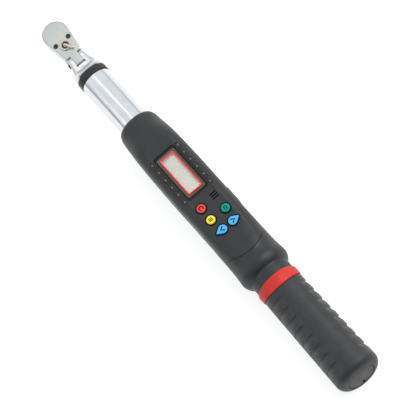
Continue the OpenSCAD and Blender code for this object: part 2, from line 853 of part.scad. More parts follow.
module led_lens(side) {
    lens_top = 19.2;
    color([0.30, 0.27, 0.25]) on_axis() intersection() {
        plate([strip_x, side * strip_y], strip_floor, strip_l, strip_w, lens_top - strip_floor, 1.35);
        housing_form(0.15);
    }
}

module led_lens_left() {
    led_lens(1);
}

module led_lens_right() {
    led_lens(-1);
}

module indicator_leds() {
    color([0.9, 0.85, 0.75]) on_axis() for (n = [0 : led_count - 1], i = [-1, 1])
        plate([strip_x + (n - (led_count - 1) / 2) * led_pitch, i * strip_y],
              board_top, 1.6, 1.6, 1.4, 0.2);
}

// Buttons

module button_switches() {
    color([0.75, 0.75, 0.72]) on_axis() for (b = buttons)
        translate([b[0][0], b[0][1], board_top]) cylinder(r = 2.4, h = switch_top - board_top);
}

// A button whose tip points to side: 0 for a round one
module key(pos, side) {
    on_axis() translate([pos[0], pos[1], 0]) {
        translate([0, 0, flange_top - flange_t]) linear_extrude(flange_t)
            button_outline(side, side == 0 ? flange_out : 0.55);
        translate([0, 0, flange_top - 0.1]) linear_extrude(panel_z + button_proud - 0.4 - flange_top + 0.1)
            button_outline(side, 0);
        translate([0, 0, panel_z + button_proud - 0.5]) linear_extrude(0.5)
            button_outline(side, -0.35);
    }
}

module button_rims() {
    color(dark_rubber) on_axis() for (b = buttons)
        translate([b[0][0], b[0][1], panel_z]) linear_extrude(rim_t) difference() {
            button_outline(b[1], rim_w);
            button_outline(b[1], button_gap);
        }
}

module clear_button() {
    color([0.85, 0.25, 0.22]) key(clear_pos, 0);
}

module unit_button() {
    color([0.0, 0.52, 0.46]) key(unit_pos, 0);
}

module set_button() {
    color([0.93, 0.83, 0.22]) key(set_pos, 0);
}

module up_button() {
    color([0.30, 0.66, 0.92]) key(up_pos, 1);
}

module down_button() {
    color([0.30, 0.66, 0.92]) key(down_pos, -1);
}

// Side port

module port_cover() {
    color(dark_rubber) on_axis() union() {
        translate([port_x0, house_w - port_t + slip, port_z0])
            cube([port_x1 - port_x0, port_t - slip + port_proud, port_z1 - port_z0]);
        translate([port_x0 + 3, house_w - port_t - 0.5, port_z0 + 3.4])
            cube([port_x1 - port_x0 - 6, 1, port_z1 - port_z0 - 6]);
        // Bead of the living hinge
        translate([0, house_w + port_proud, port_z0]) along_x(port_x0 + 2)
            cylinder(r = 0.3, h = port_x1 - port_x0 - 4);
    }
}

module data_port() {
    color([0.7, 0.7, 0.72]) on_axis() difference() {
        translate([198, 10.9, 8]) cube([10, 4.9, board_z - 8]);
        translate([199, 12.5, 9]) cube([8, 5, 3]);
    }
}

// Cables inside

// A cable along X from x_from to its corner, then straight up to the board
module inner_cable(corner, x_from, wire_r) {
    translate(corner) cylinder(r = wire_r, h = board_z - slip - corner[2]);
    translate(corner) sphere(r = wire_r, $fn = 32);
    translate([0, corner[1], corner[2]]) along_x(min(corner[0], x_from))
        cylinder(r = wire_r, h = abs(corner[0] - x_from));
}

module gauge_cable() {
    color([0.75, 0.72, 0.68]) on_axis() inner_cable(gauge_cable_pos, 70, 1.1);
}

module battery_cable() {
    color([0.75, 0.15, 0.12]) on_axis() inner_cable(battery_cable_pos, sleeve_x0 - 0.2, 0.9);
}

// Band and grip

// Everything behind the tilted plane at the rear of the band, moved back by a gap
module behind_band(gap) {
    translate([band_end + gap, 0, 0]) rotate([0, atan(band_slope), 0])
        translate([0, -big, -big]) cube([2 * big, 2 * big, 2 * big]);
}

module red_band() {
    edge = 0.5;
    color(signal_red) on_axis() difference() {
        turned([
            [band_x + slip, collar_core_r + slip], [band_x + slip, band_r - edge],
            [band_x + slip + edge, band_r], [band_end + 8, band_r],
            [band_end + 8, collar_core_r + slip]
        ]);
        behind_band(0);
    }
}

module grip() {
    x_front = band_end - 6;
    slope = (grip_r1 - grip_r0) / (grip_end - band_end);
    color(dark_rubber) on_axis() difference() {
        union() {
            turned([
                [x_front, 0], [x_front, grip_r0], [grip_end - grip_corner, grip_r1],
                [grip_end - grip_corner, 0]
            ]);
            rotate([0, 90, 0]) rotate_extrude($fn = 96) {
                translate([grip_r1 - grip_corner, grip_end - grip_corner])
                    intersection() {
                        circle(r = grip_corner, $fn = 64);
                        square([grip_corner, grip_corner]);
                    }
                translate([0, grip_end - grip_corner])
                    square([grip_r1 - grip_corner, grip_corner]);
            }
        }
        difference() {
            translate([x_front - 1, -big, -big]) cube([big, 2 * big, 2 * big]);
            behind_band(0.1);
        }
        // Room for the collar's core and for the tube
        along_x(x_front - 1) cylinder(r = collar_core_r + slip, h = collar_end + 0.1 - x_front + 1);
        along_x(x_front - 1) cylinder(r = tube_r + slip, h = tube_end + 0.1 - x_front + 1);
        along_x(x_front - 1) cylinder(r = cap_hole_r, h = big * 2);
        // Grooves that fade out towards the top and the bottom
        for (n = [0 : groove_count - 1], i = [-1, 1]) {
            x = groove_x + n * groove_pitch;
            r = grip_r0 + slope * (x - band_end);
            floor_r = r - groove_depth + groove_shift;
            translate([x, -i * groove_shift, 0]) rotate([0, atan(band_slope), 0]) turned([
                [-0.9, r + 4], [-0.5, floor_r + 0.35], [0, floor_r], [4.5, floor_r + 0.95],
                [6, r + 4]
            ]);
        }
    }
}

// Battery compartment

module battery_sleeve() {
    ring_l = 4;
    x1 = insert_x - slip;
    color([0.85, 0.85, 0.83]) on_axis() {
        sleeve(sleeve_x0, x1, sleeve_in_r + 1.2, sleeve_in_r);
        for (x = [sleeve_x0, (sleeve_x0 + x1 - ring_l) / 2, x1 - ring_l])
            sleeve(x, x + ring_l, sleeve_r, sleeve_in_r + 1);
    }
}

module battery_cells() {
    color([0.35, 0.37, 0.42]) on_axis() for (n = [0 : cell_count - 1])
        turned([
            [cell_x0 + n * cell_l, 0], [cell_x0 + n * cell_l, 2.6],
            [cell_x0 + n * cell_l + 1.2, 2.6], [cell_x0 + n * cell_l + 1.2, cell_r - 0.3],
            [cell_x0 + n * cell_l + 1.5, cell_r], [cell_x0 + (n + 1) * cell_l - 0.35, cell_r],
            [cell_x0 + (n + 1) * cell_l - 0.1, cell_r - 0.3],
            [cell_x0 + (n + 1) * cell_l - 0.1, 0]
        ]);
}

module front_contact() {
    color(gold_brass) on_axis() {
        along_x(sleeve_x0 + 0.5) cylinder(r = sleeve_in_r - 0.1, h = 1.5);
        along_x(sleeve_x0 + 2) cylinder(r = 2.2, h = cell_x0 - sleeve_x0 - 2 - slip);
    }
}

module cap_insert() {
    color(gold_brass) on_axis()
        sleeve(insert_x, insert_end, tube_in_r - slip, insert_in_r);
}

module end_cap() {
    edge = 0.6;
    notch_depth = 1.2;
    notch_w = 1.6;
    notch_in = 7;
    color(dark_plastic) on_axis() difference() {
        turned([
            [cap_face_x, 0], [cap_face_x, cap_plug_r], [insert_end, cap_plug_r],
            [insert_end, cap_neck_r], [insert_end + 2, cap_neck_r], [insert_end + 2, cap_r],
            [tube_end + 0.5, cap_r], [tube_end + 0.5, cap_head_r],
            [grip_end - edge, cap_head_r], [grip_end, cap_head_r - edge], [grip_end, 0]
        ]);
        // Notch that marks how far the cap is turned
        translate([grip_end - notch_depth, -notch_w / 2, -notch_in - big])
            cube([notch_depth + 1, notch_w, big]);
    }
}

module cap_o_ring() {
    wire_r = 0.9;
    color(dark_rubber) on_axis() along_x(insert_end + 1) rotate_extrude($fn = 64)
        translate([cap_neck_r + wire_r + 0.03, 0]) circle(r = wire_r, $fn = 24);
}

module battery_spring() {
    color(steel_grey) on_axis() along_x(cell_x1 + slip)
        coil_spring(2.6, 6, 0.45, 3.5, cap_face_x - cell_x1 - 2 * slip);
}

head_body();
cover_plate();
cover_screws();
ratchet_drive();
detent_ball();
detent_spring();
pawl();
reverse_lever();
lever_plunger();
lever_spring();
pivot_pin();
flex_plunger();
flex_spring();
flex_yoke();
strain_gauges();
seal_ring();
main_tube();
beam_pins();
upper_housing();
lower_housing();
housing_screws();
rear_collar();
display_bezel();
display_frame();
display_lens();
lcd_panel();
lcd_backlight();
lcd_contact_strips();
main_board();
board_chips();
buzzer();
led_lens_left();
led_lens_right();
indicator_leds();
button_switches();
button_rims();
clear_button();
unit_button();
set_button();
up_button();
down_button();
port_cover();
data_port();
gauge_cable();
battery_cable();
red_band();
grip();
battery_sleeve();
battery_cells();
front_contact();
cap_insert();
end_cap();
cap_o_ring();
battery_spring();
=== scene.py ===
from math import asin, cos, degrees, pi, radians, remainder, sin, sqrt

import bmesh
import bpy
from mathutils import Matrix, Vector


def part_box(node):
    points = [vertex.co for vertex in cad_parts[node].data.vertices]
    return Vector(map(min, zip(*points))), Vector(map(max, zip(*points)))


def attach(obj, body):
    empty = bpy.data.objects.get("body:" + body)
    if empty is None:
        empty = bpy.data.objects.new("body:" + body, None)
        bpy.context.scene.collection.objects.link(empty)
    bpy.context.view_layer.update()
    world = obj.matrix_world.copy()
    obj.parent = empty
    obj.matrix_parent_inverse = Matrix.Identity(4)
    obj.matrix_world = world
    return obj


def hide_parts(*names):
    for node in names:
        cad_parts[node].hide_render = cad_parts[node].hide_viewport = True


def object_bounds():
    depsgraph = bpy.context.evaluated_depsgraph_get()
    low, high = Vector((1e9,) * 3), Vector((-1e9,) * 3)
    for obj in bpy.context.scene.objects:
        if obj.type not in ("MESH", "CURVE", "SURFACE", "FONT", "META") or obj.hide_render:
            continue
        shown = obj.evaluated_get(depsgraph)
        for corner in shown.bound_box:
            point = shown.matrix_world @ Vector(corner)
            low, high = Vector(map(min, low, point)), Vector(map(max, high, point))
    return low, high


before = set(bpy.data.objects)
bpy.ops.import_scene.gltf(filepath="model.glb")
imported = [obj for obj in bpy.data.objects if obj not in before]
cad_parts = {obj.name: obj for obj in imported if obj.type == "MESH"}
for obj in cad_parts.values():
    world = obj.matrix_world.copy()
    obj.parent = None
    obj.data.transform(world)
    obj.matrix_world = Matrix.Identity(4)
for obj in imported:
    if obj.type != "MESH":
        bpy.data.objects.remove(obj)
cad_low, cad_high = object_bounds()

# Sizes are in millimetres in the tool's own frame: X along the tool from the drive axis, Z up from
# the tube's axis. place() turns them into metres in the shared frame.
MM = 0.001
tube_low, tube_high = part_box("main_tube")
AXIS_Z = (tube_low.z + tube_high.z) / 2 / MM

# Edges that meet at more than this angle, in degrees, are shaded sharp
SHARP = 32
HOUSING_SHARP = 28
COLLAR_SHARP = 30
FRAME_SHARP = 40


def box_mm(node):
    """Lowest and highest corner of a CAD node, in the tool's own frame."""
    low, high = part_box(node)
    shift = Vector((0, 0, AXIS_Z))
    return low / MM - shift, high / MM - shift


def middle(node):
    """Middle of a CAD node's box."""
    low, high = box_mm(node)
    return (low + high) / 2


def place(point):
    return (point[0] * MM, point[1] * MM, (point[2] + AXIS_Z) * MM)


# ---- outlines

# The smallest share of a mitre's length that grown() divides by
LEAST_MITRE = 0.3


def lerp(a, b, f):
    return a + (b - a) * f


def smooth(f):
    """Eased step from 0 to 1."""
    f = min(max(f, 0.0), 1.0)
    return f * f * (3 - 2 * f)


def curve(points, x):
    """Height at x of a smooth curve through points."""
    if x <= points[0][0]:
        return points[0][1]
    for k in range(len(points) - 1):
        x0, y0 = points[k]
        x1, y1 = points[k + 1]
        if x <= x1:
            before = points[max(k - 1, 0)]
            after = points[min(k + 2, len(points) - 1)]
            chord = (y1 - y0) / (x1 - x0)
            m0 = (y1 - before[1]) / (x1 - before[0]) if k > 0 else chord
            m1 = (after[1] - y0) / (after[0] - x0) if k + 2 < len(points) else chord
            if chord == 0:
                m0 = m1 = 0
            f = (x - x0) / (x1 - x0)
            h = x1 - x0
            return ((2 * f**3 - 3 * f**2 + 1) * y0 + (f**3 - 2 * f**2 + f) * h * m0
                    + (3 * f**2 - 2 * f**3) * y1 + (f**3 - f**2) * h * m1)
    return points[-1][1]


def around(count):
    """Angles that share a full turn evenly."""
    return [2 * pi * i / count for i in range(count)]


def quarter(count):
    """Angles from 0 to a quarter turn."""
    return [pi / 2 * k / count for k in range(count + 1)]


def circle(r, count=96, centre=(0, 0)):
    return [(centre[0] + r * cos(a), centre[1] + r * sin(a)) for a in around(count)]


def round_rect(length, width, r, count=10, centre=(0, 0)):
    """Anticlockwise rectangle with round corners of count + 1 points each."""
    points = []
    for turn, (i, j) in enumerate(((1, 1), (-1, 1), (-1, -1), (1, -1))):
        cx = centre[0] + i * (length / 2 - r)
        cy = centre[1] + j * (width / 2 - r)
        for k in range(count + 1):
            a = pi / 2 * (turn + k / count)
            points.append((cx + r * cos(a), cy + r * sin(a)))
    return points


def hull(circles, count=96):
    """Convex outline around circles given as (x, y, radius)."""
    points = sorted(set(
        (round(p[0], 6), round(p[1], 6))
        for x, y, r in circles for p in circle(r, count, (x, y))))

    def half(ordered):
        chain = []
        for p in ordered:
            while len(chain) > 1:
                a, b = chain[-2], chain[-1]
                if (b[0] - a[0]) * (p[1] - a[1]) - (b[1] - a[1]) * (p[0] - a[0]) > 1e-9:
                    break
                chain.pop()
            chain.append(p)
        return chain[:-1]

    return half(points) + half(points[::-1])


def grown(outline, d):
    """Outline moved outwards by d along its corners' mitres."""
    result = []
    count = len(outline)
    for i, p in enumerate(outline):
        a = Vector(outline[i - 1])
        b = Vector(p)
        c = Vector(outline[(i + 1) % count])
        n0 = Vector(((b - a).y, -(b - a).x)).normalized()
        n1 = Vector(((c - b).y, -(c - b).x)).normalized()
        push = (n0 + n1) * (d / max(1 + n0.dot(n1), LEAST_MITRE))
        result.append((b.x + push.x, b.y + push.y))
    return result


# ---- meshes

# Points closer than this, in metres, are merged
MERGE = 1e-7


def sweep(rings, round_trip=False, ends=True):
    """Quads between rings, with flat ends unless they make a round trip."""
    size = len(rings[0])
    points = [p for ring in rings for p in ring]
    faces = []
    last = len(rings) if round_trip else len(rings) - 1
    for k in range(last):
        a = k * size
        b = (k + 1) % len(rings) * size
        for i in range(size):
            j = (i + 1) % size
            faces.append((a + i, a + j, b + j, b + i))
    if ends and not round_trip:
        faces.append(tuple(range(size)))
        faces.append(tuple(range(len(points) - size, len(points))))
    return points, faces


def prism(outline, z0, z1, top=0.0, bottom=0.0, steps=4, swap=None):
    """Extruded outline with round edges. swap turns (u, v, w) into (x, y, z)."""
    levels = []
    if bottom > 0:
        levels += [(bottom * (1 - sin(a)), z0 + bottom * (1 - cos(a))) for a in quarter(steps)]
    else:
        levels.append((0, z0))
    if top > 0:
        levels += [(top * (1 - cos(a)), z1 - top * (1 - sin(a))) for a in quarter(steps)]
    else:
        levels.append((0, z1))
    rings = [[(x, y, z) for x, y in grown(outline, -inset)] for inset, z in levels]
    if swap:
        rings = [[swap(*p) for p in ring] for ring in rings]
    return sweep(rings)


def between(outer, inner, profile):
    """Frame between two outlines with a closed profile of (share, height)."""
    rings = [[(lerp(a[0], b[0], f), lerp(a[1], b[1], f), z) for a, b in zip(outer, inner)]
             for f, z in profile]
    return sweep(rings, round_trip=True)


def turned(profile, count=128):
    """Solid turned about the tool's axis from a closed profile of (x, radius)."""
    rings = [[(x, r * cos(a), r * sin(a)) for x, r in profile] for a in around(count)]
    return sweep(rings, round_trip=True)


def together(*parts):
    """One part made of several that do not touch."""
    points, faces = [], []
    for p, f in parts:
        start = len(points)
        points += p
        faces += [tuple(i + start for i in face) for face in f]
    return points, faces


def moved(part, x=0.0, y=0.0, z=0.0, turn=0.0):
    """Part turned about Z by degrees and then moved."""
    c, s = cos(radians(turn)), sin(radians(turn))
    points = [(x + c * p[0] - s * p[1], y + s * p[0] + c * p[1], z + p[2]) for p in part[0]]
    return points, part[1]


def linked(name, data):
    """New object in the scene."""
    obj = bpy.data.objects.new(name, data)
    bpy.context.scene.collection.objects.link(obj)
    return obj


def piece(name, part, material, replaces=(), sharp=SHARP, body="handle"):
    """Makes a Blender object of a part and lets it ride on a body."""
    mesh = bpy.data.meshes.new(name)
    mesh.from_pydata([place(p) for p in part[0]], [], part[1])
    work = bmesh.new()
    work.from_mesh(mesh)
    bmesh.ops.remove_doubles(work, verts=work.verts, dist=MERGE)
    bmesh.ops.dissolve_degenerate(work, edges=work.edges, dist=MERGE)
    bmesh.ops.recalc_face_normals(work, faces=work.faces)
    work.to_mesh(mesh)
    work.free()
    obj = linked(name, mesh)
    finish_mesh(obj, material, sharp)
    if body:
        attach(obj, body)
    if replaces:
        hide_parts(*replaces)
    return obj


def wear(obj, material):
    """Leaves an object with this one material."""
    obj.data.materials.clear()
    obj.data.materials.append(material)


def finish_mesh(obj, material, sharp):
    """Gives an object one material and smooth shading with sharp edges."""
    mesh = obj.data
    wear(obj, material)
    mesh.shade_smooth()
    mesh.set_sharp_from_angle(angle=radians(sharp))


def carve(obj, cutter, operation="DIFFERENCE", sharp=SHARP):
    """Cuts a closed part out of an object, or joins it on."""
    material = obj.data.materials[0]
    tool = piece(obj.name + "_tool", cutter, material, body=None)
    change = obj.modifiers.new("carve", "BOOLEAN")
    change.operation = operation
    change.solver = "EXACT"
    change.object = tool
    bpy.context.view_layer.update()
    shape = obj.evaluated_get(bpy.context.evaluated_depsgraph_get())
    mesh = bpy.data.meshes.new_from_object(shape)
    obj.modifiers.clear()
    obj.data = mesh
    bpy.data.objects.remove(tool)
    finish_mesh(obj, material, sharp)


# ---- materials

def set_inputs(node, values):
    for key, value in values.items():
        node.inputs[key].default_value = value


# The part of a noise's range that is spread over the whole change
NOISE_LOW = 0.3
NOISE_HIGH = 0.7
LEAST_ROUGH = 0.02
# Where the painted shadow over the screen's end starts and ends along the tool, and how dark it
# gets
SCREEN_PAINTED_SHADOW = (148.6, 152.6, 0.4)


class Paint:
    """A node material built step by step around one Principled shader."""

    def __init__(self, name, color, rough, metal=0.0, specular=0.5):
        self.material = bpy.data.materials.new(name)
        self.material.use_nodes = True
        self.tree = self.material.node_tree
        self.shader = self.tree.nodes["Principled BSDF"]
        self.color = color
        self.rough = rough
        set_inputs(self.shader, {"Base Color": (*color, 1), "Roughness": rough, "Metallic": metal,
                                 "Specular IOR Level": specular})
        self.place = self.add("ShaderNodeTexCoord").outputs["Object"]
        self.height = None

    def add(self, kind, **values):
        node = self.tree.nodes.new(kind)
        for key, value in values.items():
            setattr(node, key, value)
        return node

    def link(self, source, target):
        self.tree.links.new(source, target)

    def noise(self, size_mm, detail=2.0, stretch=(1, 1, 1)):
        """Grey noise whose cells are about size_mm across."""
        mapping = self.add("ShaderNodeMapping")
        set_inputs(mapping, {"Scale": [s / (size_mm * MM) for s in stretch]})
        self.link(self.place, mapping.inputs["Vector"])
        node = self.add("ShaderNodeTexNoise")
        set_inputs(node, {"Scale": 1.0, "Detail": detail})
        self.link(mapping.outputs["Vector"], node.inputs["Vector"])
        return node.outputs["Fac"]

    def tint(self, source, change):
        """Lets a grey value brighten and darken the base colour by a share."""
        ramp = self.add("ShaderNodeValToRGB")
        ends = ((NOISE_LOW, 1 - change), (NOISE_HIGH, 1 + change))
        for stop, (position, share) in zip(ramp.color_ramp.elements, ends):
            stop.position = position
            stop.color = (*(min(c * share, 1) for c in self.color), 1)
        self.link(source, ramp.inputs["Fac"])
        self.link(ramp.outputs["Color"], self.shader.inputs["Base Color"])

    def paint_shadow_end(self, start_mm, end_mm, darkest):
        """Paints shade: darkens the tinted base colour towards start, in the tool's X."""
        split = self.add("ShaderNodeSeparateXYZ")
        self.link(self.place, split.inputs["Vector"])
        ramp = self.add("ShaderNodeMapRange", interpolation_type="SMOOTHSTEP")
        set_inputs(ramp, {"From Min": start_mm * MM, "From Max": end_mm * MM, "To Min": darkest})
        self.link(split.outputs["X"], ramp.inputs["Value"])
        mixed = self.add("ShaderNodeVectorMath", operation="SCALE")
        self.link(self.shader.inputs["Base Color"].links[0].from_socket, mixed.inputs["Vector"])
        self.link(ramp.outputs["Result"], mixed.inputs["Scale"])
        self.link(mixed.outputs["Vector"], self.shader.inputs["Base Color"])

    def roughen(self, source, change):
        """Lets a grey value change the roughness both ways."""
        node = self.add("ShaderNodeMapRange")
        set_inputs(node, {"From Min": NOISE_LOW, "From Max": NOISE_HIGH,
                          "To Min": max(self.rough - change, LEAST_ROUGH),
                          "To Max": self.rough + change})
        self.link(source, node.inputs["Value"])
        self.link(node.outputs["Result"], self.shader.inputs["Roughness"])

    def bump(self, source, depth_mm, strength):
        """Adds relief of a grey value on top of the relief that is already there."""
        node = self.add("ShaderNodeBump")
        set_inputs(node, {"Strength": strength, "Distance": depth_mm * MM})
        self.link(source, node.inputs["Height"])
        if self.height:
            self.link(self.height, node.inputs["Normal"])
        self.height = node.outputs["Normal"]
        self.link(self.height, self.shader.inputs["Normal"])


def polished(name, color, rough, streak=(1, 1, 1)):
    """Chromed or polished steel with faint polishing streaks and handling marks."""
    paint = Paint(name, color, rough, metal=1.0)
    paint.tint(paint.noise(6.0, 3), 0.05)
    paint.roughen(paint.noise(2.5, 4, streak), rough * 0.45)
    paint.bump(paint.noise(0.5, 3, streak), 0.006, 0.5)
    return paint.material


def brushed(name, color, rough):
    """Satin metal with fine brushing along the tool."""
    paint = Paint(name, color, rough, metal=1.0)
    paint.tint(paint.noise(0.25, 4, (0.05, 1, 1)), 0.07)
    paint.roughen(paint.noise(1.2, 3, (0.2, 1, 1)), 0.08)
    paint.bump(paint.noise(0.12, 2, (0.04, 1, 1)), 0.004, 0.6)
    return paint.material


def moulded(name, color, rough, grain_mm=0.22, depth_mm=0.02, change=0.10, specular=0.5):
    """Moulded plastic with a fine spark-eroded grain, soft mottling and handling shine."""
    paint = Paint(name, color, rough, specular=specular)
    paint.tint(paint.noise(9.0, 4), change)
    paint.roughen(paint.noise(14.0, 3), 0.07)
    paint.bump(paint.noise(grain_mm, 2), depth_mm, 0.55)
    paint.bump(paint.noise(2.4, 2), 0.012, 0.4)
    return paint.material


def rubbery(name, color, rough):
    """Soft rubber, matt and slightly dusty."""
    paint = Paint(name, color, rough, specular=0.38)
    paint.tint(paint.noise(5.0, 5), 0.16)
    paint.roughen(paint.noise(7.0, 4), 0.08)
    paint.bump(paint.noise(0.35, 3), 0.03, 0.6)
    set_inputs(paint.shader, {"Sheen Weight": 0.02, "Sheen Roughness": 0.5})
    return paint.material


def glossy(name, color, rough):
    """Smooth moulded plastic with a faint ripple and fine scuffs."""
    paint = Paint(name, color, rough)
    paint.tint(paint.noise(4.0, 3), 0.05)
    paint.roughen(paint.noise(1.4, 4), 0.07)
    paint.bump(paint.noise(1.8, 2), 0.008, 0.5)
    return paint.material


def see_through(name, color, alpha, rough):
    """Clear or smoked window: part of the light goes straight through."""
    paint = Paint(name, color, rough)
    paint.roughen(paint.noise(3.0, 3), 0.03)
    paint.bump(paint.noise(2.2, 2), 0.004, 0.4)
    set_inputs(paint.shader, {"Alpha": alpha})
    return paint.material


def screen_film(name, color):
    """Film of a resting liquid crystal screen, with a faint cloud, fine grain and a painted shadow
    over its end nearer the head.
    """
    paint = Paint(name, color, 0.55, specular=0.3)
    paint.tint(paint.noise(14.0, 2), 0.06)
    # Painted shadow: the film's colour darkens towards its end nearer the head
    paint.paint_shadow_end(*SCREEN_PAINTED_SHADOW)
    paint.roughen(paint.noise(0.4, 2), 0.05)
    paint.bump(paint.noise(0.15, 2), 0.004, 0.5)
    return paint.material


CHROME = polished("head_chrome", (0.60, 0.61, 0.62), 0.18)
SATIN = brushed("satin_plate", (0.515, 0.54, 0.515), 0.42)
LEVER_METAL = brushed("lever_metal", (0.56, 0.51, 0.44), 0.28)
STEEL = brushed("bare_steel", (0.42, 0.42, 0.43), 0.34)
# Black oxide of the screws and pin, and also the painted shade of the lever's groove
BLACK_OXIDE_AND_GROOVE_SHADE = moulded("black_oxide_and_groove_shade", (0.018, 0.017, 0.016), 0.38, 0.15, 0.01)
SPRING = polished("spring_wire", (0.5, 0.5, 0.5), 0.3)
HOUSING = moulded("housing_plastic", (0.0125, 0.0138, 0.0158), 0.47, specular=0.45)
GRIP = rubbery("grip_rubber", (0.021, 0.023, 0.025), 0.46)
RING = rubbery("seal_rubber", (0.012, 0.012, 0.012), 0.5)
BEZEL = moulded("bezel_plastic", (0.006, 0.006, 0.006), 0.38, 0.3, 0.01, 0.1, 0.25)
RIM = moulded("rim_rubber", (0.003, 0.003, 0.003), 0.6, 0.3, 0.01, 0.1, 0.1)
BEZEL_LINE = glossy("bezel_line", (0.080, 0.055, 0.036), 0.4)
FRAME_RED = glossy("frame_red", (0.72, 0.045, 0.050), 0.35)
WINDOW = see_through("clear_window", (0.9, 0.9, 0.88), 0.10, 0.06)
SMOKE = see_through("smoked_strip", (0.014, 0.011, 0.009), 0.80, 0.22)
LED = glossy("led_resin", (0.11, 0.095, 0.070), 0.3)
KEY_PAINT = {name: moulded("key_" + name, color, 0.45, 0.3, 0.01, 0.05, 0.2)
             for name, color in (("red", (0.68, 0.060, 0.055)), ("green", (0.0, 0.24, 0.20)),
                                 ("yellow", (0.76, 0.64, 0.060)), ("blue", (0.065, 0.39, 0.74)))}
KEY_MARK = moulded("key_marks", (0.004, 0.004, 0.005), 0.6, 0.2, 0.004, 0.1, 0.1)
BAND = moulded("band_red", (0.54, 0.026, 0.020), 0.48, 0.45, 0.035, 0.12, 0.25)

# Materials of the CAD nodes, those with a Blender piece in their place included
CAD_MATERIALS = (
    (CHROME, "head_body detent_ball flex_yoke"),
    (SATIN, "cover_plate"),
    (BLACK_OXIDE_AND_GROOVE_SHADE, "cover_screws pivot_pin housing_screws"),
    (STEEL, "ratchet_drive pawl lever_plunger flex_plunger beam_pins"),
    (SPRING, "detent_spring lever_spring flex_spring battery_spring"),
    (LEVER_METAL, "reverse_lever"),
    (glossy("gauge_foil", (0.60, 0.38, 0.12), 0.3), "strain_gauges"),
    (RING, "seal_ring cap_o_ring"),
    (polished("tube_chrome", (0.67, 0.68, 0.70), 0.15, (0.15, 1, 1)), "main_tube"),
    (HOUSING, "upper_housing lower_housing rear_collar end_cap"),
    (BEZEL, "display_bezel"),
    (FRAME_RED, "display_frame"),
    (WINDOW, "display_lens"),
    (screen_film("screen_film", (0.49, 0.475, 0.40)), "lcd_panel"),
    (moulded("diffuser", (0.8, 0.8, 0.75), 0.5), "lcd_backlight"),
    (rubbery("contact_rubber", (0.6, 0.3, 0.36), 0.72), "lcd_contact_strips"),
    (moulded("solder_mask", (0.02, 0.16, 0.07), 0.35, 0.5, 0.01), "main_board"),
    (moulded("chip_plastic", (0.02, 0.02, 0.02), 0.45), "board_chips buzzer"),
    (SMOKE, "led_lens_left led_lens_right"),
    (LED, "indicator_leds"),
    (brushed("plated_tin", (0.6, 0.6, 0.6), 0.3), "button_switches data_port"),
    (RIM, "button_rims port_cover"),
    (moulded("cable_jacket", (0.45, 0.42, 0.40), 0.5), "gauge_cable battery_cable"),
    (BAND, "red_band"),
    (GRIP, "grip"),
    (moulded("liner_plastic", (0.6, 0.6, 0.58), 0.5), "battery_sleeve"),
    (glossy("cell_jacket", (0.10, 0.12, 0.18), 0.3), "battery_cells"),
    (brushed("brass", (0.75, 0.52, 0.20), 0.3), "front_contact cap_insert"),
)
for material, names in CAD_MATERIALS:
    for name in names.split():
        wear(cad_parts[name], material)
KEYS = {"clear_button": "red", "unit_button": "green", "set_button": "yellow",
        "up_button": "blue", "down_button": "blue"}
for name, color in KEYS.items():
    wear(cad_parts[name], KEY_PAINT[color])


# ---- head

SCREW_HEAD_R = 1.9
PIN_X = middle("pivot_pin").x
PIN_HOLE_R = 1.95
SCREW = box_mm("cover_screws")[1] - Vector((SCREW_HEAD_R, SCREW_HEAD_R, 0))
RING_X = box_mm("seal_ring")[0].x
TUBE_X = box_mm("main_tube")[0].x
HEAD_R = 11.0
# Half of the head's height, with the radii of its upper and lower edges
HEAD_T = 6.0
HEAD_TOP_EDGE = 1.0
HEAD_LOW_EDGE = 1.3
SHOULDER_X = 23.9
SHOULDER_W = 8.0
SHOULDER_CORNER = 1.6
DRIVE_BORE_R = 7.6
DRIVE_NECK_R = 5.6
LEVER_X = 13.7
LEVER_BORE_R = 2.5
BORE_FLOOR = -4.0
COVER_T = 1.5
COVER_INSET = 0.9
COVER_GAP = 0.06
COVER_EDGE = 0.22
SCREW_SHANK_R = 1.05
SCREW_SEAT_R = 1.97
SCREW_CHAMFER = 0.4
LEVER_R = 4.4
LEVER_GAP = 0.05
SHAFT_R = 2.45
TAB_ANGLE = 30.0
TAB_L = 7.5
TAB_R0 = 1.0
TAB_R1 = 1.25
TAB_X0 = -0.6
# Inner radius of the flat black ring that paints the shade of the lever's groove
GROOVE_SHADE_INNER_R = 1.55
TONGUE_W = 3.5
TONGUE_CORNER = 2.8
TONGUE_ROOT = 4.0
TONGUE_ROOT_H = 3.9
TONGUE_ROOT_R = 2.1
TONGUE_EDGE = 0.35
SCOOP_GAP = 0.35
# How straight up a face has to look to be satin, as the upright part of its normal
SATIN_UP = 0.97


def head_outline(inset):
    corner = SHOULDER_CORNER
    rear = SHOULDER_X - corner
    side = SHOULDER_W - corner
    return grown(hull([(0, 0, HEAD_R), (rear, side, corner), (rear, -side, corner)]), -inset)


def across(u, v, w):
    """Sends an outline drawn in X and Z, extruded along Y."""
    return (u, w, v)


def pin_hole(reach):
    """Cutter for the pivot pin, right through."""
    return prism(circle(PIN_HOLE_R, 64, (PIN_X, 0)), -reach, reach, swap=across)


